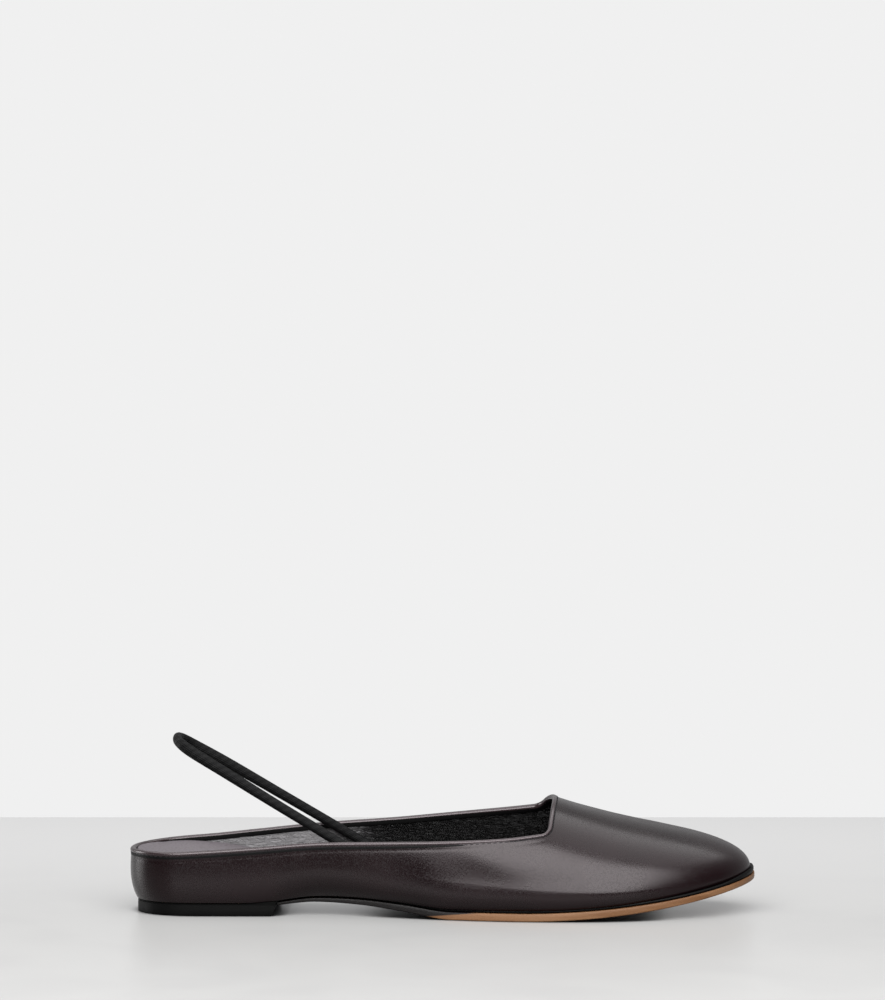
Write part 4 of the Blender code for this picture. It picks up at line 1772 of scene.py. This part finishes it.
@dataclass
class HeelLift:
    """The black top lift, its lower edge eased and a fine shadow line under the upper."""

    last: Last
    slab: Slab
    ease: float = 0.22 * MM
    line: float = 0.30 * MM
    lean: float = 2.0 * MM
    steps: int = 16

    def inset(self, drawn: float) -> Callable[[Side], Place]:
        """Inset of the lift's edge, the same on both sides."""
        return lambda side: lambda x: LIFT["inset"].at(x / self.last.length) * self.last.ball_width + drawn

    def build(self, shop: Workshop, material: bpy.types.Material) -> bpy.types.Object:
        """The lift.

        Args:
            shop: turns grids into objects.
            material: the rubber.

        Returns:
            The piece.
        """
        last = self.last
        top = last.lift_thickness

        def level(height: float, drawn: float) -> Level:
            """A level of the lift, drawn in from its edge.

            Args:
                height: its height.
                drawn: how far it is drawn in.

            Returns:
                The level's stations and sheet.
            """
            share = height / top
            stop = last.lift_length - self.lean * (1.0 - share) - drawn
            stations = self.slab.stations(0.0, stop, self.steps)

            def place(x: Array) -> Array:
                """Height of the level, which follows the upper at the top."""
                return x * 0.0 + height if height < top else last.bed(x) - last.gap

            return stations, Sheet(self.inset(drawn), place)

        levels = [
            level(0.0, self.ease),
            level(0.3 * self.ease, 0.3 * self.ease),
            level(self.ease, 0.0),
            level(0.5 * top, -0.03 * MM),
            level(top - 2.2 * self.line, 0.0),
            level(top - 1.6 * self.line, self.line),
            level(top - 1.0 * self.line, self.line),
            level(top, 0.05 * MM),
        ]
        return self.slab.build(shop, "heel_lift_rubber", levels, material)


@dataclass
class Outsole:
    """The thin leather sole with its edge eased above and below."""

    last: Last
    slab: Slab
    ease: float = 0.55 * MM

    def build(self, shop: Workshop, material: bpy.types.Material) -> bpy.types.Object:
        """The sole.

        Args:
            shop: turns grids into objects.
            material: the sole leather.

        Returns:
            The piece.
        """
        last = self.last
        stations = self.slab.stations(last.lift_length + last.gap, last.length)

        def level(share: float, rise: float, drawn: float) -> Level:
            """A level of the sole, drawn in from its edge.

            Args:
                share: its place in the sole's thickness.
                rise: how far it is lifted from there.
                drawn: how far it is drawn in.

            Returns:
                The level's stations and sheet.
            """
            def height(x: Array) -> Array:
                """Height of the level."""
                low = last.underside(x)
                return low + (last.sole_top(x) - low) * share + rise

            return stations, Sheet(lambda side: lambda x: last.sole_inset(x) + drawn, height)

        levels = [
            level(0.0, 0.0, self.ease),
            level(0.0, 0.12 * self.ease, 0.35 * self.ease),
            level(0.0, 0.50 * self.ease, 0.06 * self.ease),
            level(0.0, self.ease, 0.0),
            level(0.6, 0.0, -0.04 * MM),
            level(1.0, -0.35 * self.ease, 0.0),
            level(1.0, -0.08 * self.ease, 0.12 * self.ease),
            level(1.0, 0.0, 0.35 * self.ease),
        ]
        return self.slab.build(shop, "outsole_leather", levels, material)


@dataclass
class Rand:
    """The black strip between sole and upper, a rounded ledge round the toe."""

    last: Last
    slab: Slab
    width: float = 6.0 * MM
    setback: float = 0.3 * MM
    tuck: float = 1.1 * MM
    bare_from: float = 0.80
    bare_full: float = 0.97
    lip: float = 1.6 * MM
    lip_from: float = 0.94

    def inset(self, x: Array) -> Array:
        """Inset of the strip's edge, drawn in along the sides and showing round the toe."""
        bare = (x / self.last.length - self.bare_from) / (self.bare_full - self.bare_from)
        return self.last.sole_inset(x) + self.tuck * (1.0 - smooth_step(bare))

    def build(self, shop: Workshop, material: bpy.types.Material) -> bpy.types.Object:
        """The rand.

        Args:
            shop: turns grids into objects.
            material: the painted edge.

        Returns:
            The piece.
        """
        last = self.last
        stations = self.slab.stations(last.lift_length + last.gap, last.length)
        around = [(Side.LATERAL, s) for s in stations]
        around += [(Side.MEDIAL, s) for s in stations[-2::-1]]
        round_over = [(0.30, 0.0), (0.10, 0.18), (0.0, 0.45), (0.06, 0.78), (0.28, 1.0)]
        corners = [(self.setback + depth * MM, share) for depth, share in round_over]
        corners += [(self.width, 1.0), (self.width, 0.0)]
        loops = []
        for depth, share in corners:
            loop = []
            for side, station in around:
                plan = last.outline(side, station, lambda x, depth=depth: self.inset(x) + depth)
                x = np.array(plan[0])
                low = float(last.sole_top(x)) + last.gap
                ahead = (x / last.length - self.lip_from) / (1.0 - self.lip_from)
                rise = self.lip * float(smooth_step(ahead))
                outer = 1.0 - depth / self.width
                loop.append([*plan, low + (float(last.rand_top(x)) - low + rise * outer) * share])
            loops.append(loop)
        bm = bmesh.new()
        rings = shop.loops(bm, np.array(loops).transpose(1, 0, 2))
        shop.band(bm, rings, closed=True)
        bm.faces.new(rings[0])
        bm.faces.new(rings[-1])
        return shop.piece("rand_strip", bm, material)


@dataclass
class SlingStrap:
    """The covered elastic loop behind the heel, its ends rounded off beside the sock."""

    last: Last
    diameter: float = 0.0035
    top_height: float = 0.0684
    top_reach: float = 0.0187
    end_reach: float = 0.1085
    binding_over: float = 0.0003
    sides: int = 40
    steps: int = 14
    ribs: int = 9
    rib_depth: float = 0.05 * MM
    taller: float = 1.10
    top_taller: float = 1.34
    sag: float = 0.35 * MM

    def point(self, side: Side, x: float, z: float, share: float) -> Array:
        """Centre of the strap at a share of its room on one side.

        Args:
            side: outer or inner side.
            x: place along the shoe.
            z: height.
            share: share of the room inside wall and collar.

        Returns:
            The point.
        """
        last = self.last
        clearance = last.gap + self.diameter / 2.0 + self.binding_over
        place = np.array(x)
        height = np.minimum(z, last.collar(side, place))
        room = last.half_width(side, place) - last.inner_inset(side, place, height, clearance)
        return np.array([x, float(last.spine(place) + side.value * share * room), z])

    def knots(self) -> Array:
        """Points chosen along the strap, from its outer end over the top to its inner end.

        Returns:
            The points.
        """
        top = np.array([self.top_reach, 0.0, self.top_height])
        runs = {}
        for column, side in ((2, Side.LATERAL), (3, Side.MEDIAL)):
            ends = []
            for x in (self.end_reach + self.diameter, self.end_reach):
                z = float(self.last.insole_top(np.array(x))) + self.last.gap + self.diameter / 2.0
                ends.append(self.point(side, x, z, 1.0))
            run = list(ends)
            for bend in STRAP:
                x = ends[1][0] + (top[0] - ends[1][0]) * bend[0]
                z = ends[1][2] + (top[2] - ends[1][2]) * bend[1]
                run.append(self.point(side, x, z, bend[column]))
            runs[side] = run
        return np.array(runs[Side.LATERAL] + [top] + runs[Side.MEDIAL][::-1])

    def route(self) -> Array:
        """Points of a smooth curve through the knots.

        Returns:
            The points.
        """
        knots = self.knots()
        padded = np.concatenate([[2.0 * knots[0] - knots[1]], knots, [2.0 * knots[-1] - knots[-2]]])
        points = []
        for a, b, c, d in zip(padded, padded[1:], padded[2:], padded[3:]):
            for i in range(self.steps):
                t = i / self.steps
                point = 2.0 * b + (c - a) * t + (2.0 * a - 5.0 * b + 4.0 * c - d) * t * t
                points.append(0.5 * (point + (3.0 * b - a - 3.0 * c + d) * t ** 3))
        return np.array(points + [knots[-1]])

    def build(self, shop: Workshop, material: bpy.types.Material) -> bpy.types.Object:
        """The strap.

        Args:
            shop: turns grids into objects.
            material: the elastic's cover.

        Returns:
            The piece, with a map of length and turn named cord.
        """
        route = self.route()
        tangents = unit(np.gradient(route, axis=0))
        frame = unit(np.cross(tangents[0], np.array([0.0, 0.0, 1.0])))
        walked = np.concatenate([[0.0], np.cumsum(np.linalg.norm(np.diff(route, axis=0), axis=1))])
        turns = np.linspace(0.0, 2.0 * math.pi, self.sides, endpoint=False)
        radius = self.diameter / 2.0 - self.rib_depth * (0.5 - 0.5 * np.cos(self.ribs * 2.0 * turns))
        bm = bmesh.new()
        rings = []
        for place, tangent, along in zip(route, tangents, walked):
            near = np.clip(2.0 * along / walked[-1], 0.0, 1.0)
            place = place - np.array([0.0, 0.0, self.sag * math.sin(math.pi * near)])
            climb = unit(np.array([0.0, 0.0, 1.0]) - tangent * tangent[2])
            frame = unit(frame - tangent * (frame @ tangent))
            other = np.cross(tangent, frame)
            near_end = min(along, walked[-1] - along)
            closed = math.sqrt(max(1.0 - (1.0 - min(near_end / (0.5 * self.diameter), 1.0)) ** 2, 0.03))
            ring = place + (np.cos(turns) * radius)[:, None] * frame * closed
            ring = ring + (np.sin(turns) * radius)[:, None] * other * closed
            upper = float(smooth_step(near_end / (0.5 * walked[-1])) ** 3)
            stretch = self.taller + (self.top_taller - self.taller) * upper - 1.0
            ring = ring + ((ring - place) @ climb)[:, None] * climb * stretch
            rings.append([bm.verts.new(point) for point in ring])
        own = bm.loops.layers.uv.new("cord")
        count = self.sides
        for j in range(len(rings) - 1):
            for i in range(count):
                k = (i + 1) % count
                face = bm.faces.new((rings[j][i], rings[j][k], rings[j + 1][k], rings[j + 1][i]))
                marks = ((walked[j], i), (walked[j], i + 1), (walked[j + 1], i + 1), (walked[j + 1], i))
                for corner, (length, turn) in zip(face.loops, marks):
                    corner[own].uv = (length, turn / count)
        bm.faces.new(rings[0])
        bm.faces.new(rings[-1])
        return shop.piece("sling_elastic", bm, material)


@dataclass(frozen=True)
class Lamp:
    """A soft panel of light: where it hangs, the point it faces, its width and depth and its watts."""

    name: str
    place: Point
    aim: Point
    size: tuple[float, float]
    power: float

    def hang(self) -> None:
        """Hang the lamp."""
        data = bpy.data.lights.new(self.name, "AREA")
        data.shape = "RECTANGLE"
        data.size, data.size_y = self.size
        data.energy = self.power
        lamp = bpy.data.objects.new(self.name, data)
        lamp.location = self.place
        turned = (Vector(self.aim) - Vector(self.place)).to_track_quat("-Z", "Y")
        lamp.rotation_euler = turned.to_euler()
        bpy.context.scene.collection.objects.link(lamp)


@dataclass(frozen=True)
class PaleFloor:
    """The floor's finish: pale stone, painted light far away, a painted black contact shadow under the shoe
    and a painted glow.
    """

    near: Colour = (0.160, 0.159, 0.156)
    clouded: Colour = (0.150, 0.149, 0.147)
    # Painted light: the floor lighter toward the back where the lamps fall
    far_painted_light: Colour = (0.232, 0.231, 0.230)
    # Colour of the painted contact shadow in the gap under the shoe
    gap: Colour = (0.006, 0.006, 0.006)
    painted_light_run: tuple[float, float] = (-0.10, 0.36)
    cloud_scale: float = 14.0
    contact_shade_reach: float = 5.5 * MM
    contact_shade_open: tuple[float, float] = (0.30, 0.92)
    roughness: float = 0.30
    shine: float = 0.40
    # Painted fill light: the floor glows a little
    painted_glow: float = 0.15

    def make(self) -> bpy.types.Material:
        """The material.

        Returns:
            The material.
        """
        material = bpy.data.materials.new("pale_floor")
        material.use_nodes = True
        tree = NodeTree(material.node_tree)
        shader = material.node_tree.nodes["Principled BSDF"]
        place = tree.add("ShaderNodeTexCoord")
        cloud = tree.add("ShaderNodeTexNoise")
        tree.feed(cloud, Vector=place.outputs["Object"], Scale=self.cloud_scale, Detail=4.0, Distortion=1.2)
        tone = tree.ramp(cloud.outputs["Fac"], 0.35, 0.75)
        pale = tree.mix(tone, rgba(self.near), rgba(self.clouded))
        parts = tree.add("ShaderNodeSeparateXYZ")
        tree.join(place.outputs["Object"], parts.inputs[0])
        # Painted light toward the back
        lit = tree.mix(tree.ramp(parts.outputs["Y"], *self.painted_light_run), pale, rgba(self.far_painted_light))
        # Painted contact shadow: the floor goes black near the shoe by its occlusion
        contact = tree.add("ShaderNodeAmbientOcclusion")
        contact.inputs["Distance"].default_value = self.contact_shade_reach
        shade = tree.ramp(contact.outputs["AO"], *self.contact_shade_open)
        tree.feed(shader, Base_Color=tree.mix(shade, rgba(self.gap), lit))
        shader.inputs["Roughness"].default_value = self.roughness
        shader.inputs["Specular IOR Level"].default_value = self.shine
        # The glow is painted fill light, black in the painted contact shadow
        tree.feed(shader, Emission_Color=tree.mix(shade, rgba(self.gap), rgba(WHITE)))
        shader.inputs["Emission Strength"].default_value = self.painted_glow
        return material


@dataclass
class Studio:
    """Camera at the photograph's angle, a pale floor and soft light."""

    image: tuple[int, int] = (885, 1000)
    focal_pixels: float = 4130.0
    distance: float = 1.6480
    height: float = 0.206
    aside: float = 0.0432
    yaw: float = math.radians(1.5)
    pitch: float = math.radians(1.456)
    sensor: float = 36.0
    floor_back: float = 0.363
    floor_front: float = 0.27
    floor_half: float = 0.8
    room_near: Colour = (0.03, 0.03, 0.03)
    room_far: Colour = (0.46, 0.46, 0.465)
    backdrop: Colour = (0.872, 0.872, 0.872)
    lamps: tuple[Lamp, ...] = (
        Lamp("front", (0.02, -0.80, 0.62), (0.02, 0.0, 0.02), (1.6, 0.85), 52.0),
        Lamp("overhead", (0.02, 0.18, 0.85), (0.02, 0.14, 0.0), (1.5, 1.05), 14.5),
        Lamp("heel_side", (-0.90, 0.30, 0.22), (-0.1, 0.0, 0.03), (0.4, 0.4), 3.0),
    )

    def camera(self) -> bpy.types.Object:
        """The camera.

        Returns:
            The camera's object.
        """
        data = bpy.data.cameras.new("camera")
        data.sensor_fit = "VERTICAL"
        data.sensor_height = self.sensor
        data.lens = self.focal_pixels * self.sensor / self.image[1]
        data.clip_start = 0.05
        camera = bpy.data.objects.new("camera", data)
        camera.location = (self.aside, -self.distance * math.cos(self.yaw), self.height)
        camera.rotation_euler = (math.pi / 2.0 - self.pitch, 0.0, self.yaw)
        bpy.context.scene.collection.objects.link(camera)
        bpy.context.scene.camera = camera
        return camera

    def floor(self) -> bpy.types.Object:
        """A pale slab whose back edge lies behind the shoe, level with the view.

        Returns:
            The floor's object.
        """
        turn = Matrix.Rotation(self.yaw, 3, "Z")
        half = self.floor_half
        front = -self.floor_front
        back = self.floor_back
        plan = ((-half, front), (half, front), (half, back), (-half, back))
        corners = [Vector((x, y, 0.0)) for x, y in plan]
        mesh = bpy.data.meshes.new("floor")
        mesh.from_pydata([turn @ corner for corner in corners], [], [(0, 1, 2, 3)])
        mesh.materials.append(PaleFloor().make())
        floor = bpy.data.objects.new("floor", mesh)
        bpy.context.scene.collection.objects.link(floor)
        return floor

    def world(self) -> None:
        """A pale room, bright behind and above and dim toward the viewer."""
        world = bpy.data.worlds.new("room")
        world.use_nodes = True
        tree = NodeTree(world.node_tree)
        back = world.node_tree.nodes["Background"]
        place = tree.add("ShaderNodeTexCoord")
        parts = tree.add("ShaderNodeSeparateXYZ")
        tree.join(place.outputs["Generated"], parts.inputs[0])
        behind = tree.ramp(parts.outputs["Y"], -0.35, 0.35)
        above = tree.ramp(parts.outputs["Z"], 0.35, 0.95)
        share = tree.math("MAXIMUM", behind, above)
        room = tree.mix(share, rgba(self.room_near), rgba(self.room_far))
        seen = tree.add("ShaderNodeLightPath")
        colour = tree.mix(seen.outputs["Is Camera Ray"], room, rgba(self.backdrop))
        tree.join(colour, back.inputs["Color"])
        back.inputs["Strength"].default_value = 1.0
        bpy.context.scene.world = world

    def build(self) -> None:
        """Set the stage."""
        self.camera()
        self.floor()
        self.world()
        for lamp in self.lamps:
            lamp.hang()
        bpy.context.scene.view_settings.view_transform = "Standard"


def main() -> None:
    """Dress the frame."""
    logging.basicConfig(level=logging.INFO, format="%(message)s")
    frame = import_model()
    Studio().build()
    finishes = Finishes()
    last = Last()
    fine = Fineness()
    grid = LastGrid(last, fine).build()
    cad_low, cad_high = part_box("upper")
    sole_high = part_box("outsole")[1]
    middle = (grid.points[..., 1].min() + grid.points[..., 1].max()) / 2.0
    shift = Vector((sole_high[0] - last.length, (cad_low[1] + cad_high[1]) / 2.0 - middle, 0.0))
    shop = Workshop(shift)
    slab = Slab(last, fine)
    calf = CalfLeather(
        "dark_calf",
        colour=(0.0020, 0.0005, 0.0007),
        lifted=(0.0030, 0.0009, 0.0012),
    ).make(finishes)
    # A lighter copy of the calf: a painted highlight along the binding's roll
    rolled_painted_highlight = CalfLeather(
        "rolled_calf",
        colour=(0.0100, 0.0060, 0.0068),
        lifted=(0.0150, 0.0095, 0.0110),
        pebble=1900.0,
        depth=0.03 * MM,
        shine=0.36,
    ).make(finishes)
    # The lining's grey round the heel is a painted sheen; its own colour is the black toward the toe
    lining = LiningLeather(
        "lining_leather",
        painted_sheen_colour=(0.128, 0.124, 0.127),
        toe_colour=(0.0012, 0.0011, 0.0011),
        sheen_fade_start=-0.052,
        sheen_fade_end=-0.024,
    ).make(finishes)
    sock = CalfLeather(
        "sock_calf",
        colour=(0.052, 0.045, 0.050),
        lifted=(0.064, 0.056, 0.061),
        gloss=Gloss.SOFT,
        pebble=1100.0,
        depth=0.04 * MM,
    ).make(finishes)
    tan = SoleLeather(
        "sole_tan",
        tan=(0.070, 0.032, 0.0134),
        pale=(0.098, 0.050, 0.0240),
        dark_edge=(0.002, 0.0015, 0.0015),
        dark_end=-0.018,
        dark_fade=0.006,
        dark_lean=10.0,
    ).make(finishes)
    rubber = PlainEdge(
        "lift_black",
        colour=(0.0006, 0.0006, 0.0006),
        dust=(0.0014, 0.0014, 0.0013),
        gloss=Gloss.SOFT,
    ).make(finishes)
    dark_edge = PlainEdge(
        "rand_black",
        colour=(0.0016, 0.0016, 0.0016),
        dust=(0.0030, 0.0030, 0.0030),
        gloss=Gloss.WAXED,
    ).make(finishes)
    thread = PlainEdge(
        "black_thread",
        colour=(0.010, 0.009, 0.010),
        dust=(0.020, 0.018, 0.020),
        gloss=Gloss.MATT,
    ).make(finishes)
    core = PlainEdge(
        "wedge_core",
        colour=(0.25, 0.17, 0.11),
        dust=(0.20, 0.13, 0.08),
        gloss=Gloss.MATT,
    ).make(finishes)
    elastic = ElasticCover(
        "elastic_cover",
        colour=(0.0006, 0.0006, 0.0007),
        thread=(0.0018, 0.0018, 0.0019),
    ).make(finishes)

    upper = Upper(last, grid)
    binding = Binding(last, grid)
    seam = binding.line(*binding.seam)
    made = [
        (upper.build(shop, calf), "upper", "upper_leather"),
        (upper.build_lining(shop, lining), None, None),
        # The channel's black is the seam's line and a painted shadow under the roll
        (binding.build_channel(shop, dark_edge), None, None),
        (binding.build(shop, rolled_painted_highlight), "collar_binding", "binding_leather"),
        (binding.build_facing(shop, dark_edge), None, None),
        (StitchRow("binding_stitches").build(shop, seam, thread), None, None),
        (Sock(last, slab).build(shop, sock), "insole", "sock_leather"),
        (HeelLift(last, slab).build(shop, rubber), "heel_lift", "lift_rubber"),
        (Outsole(last, slab).build(shop, tan), "outsole", "sole_leather"),
        (Rand(last, slab).build(shop, dark_edge), "rand", "rand_edge"),
        (SlingStrap(last).build(shop, elastic), "sling_strap", "strap_elastic"),
    ]
    for piece, node, slot in made:
        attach(piece, BODY)
        if node:
            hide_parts(node)
        LOG.info("%s: %d faces", piece.name, len(piece.data.polygons))
    wedge = frame["nodes"]["heel_wedge"]
    for holder in wedge.material_slots:
        holder.material = core


if __name__ == "__main__":
    main()
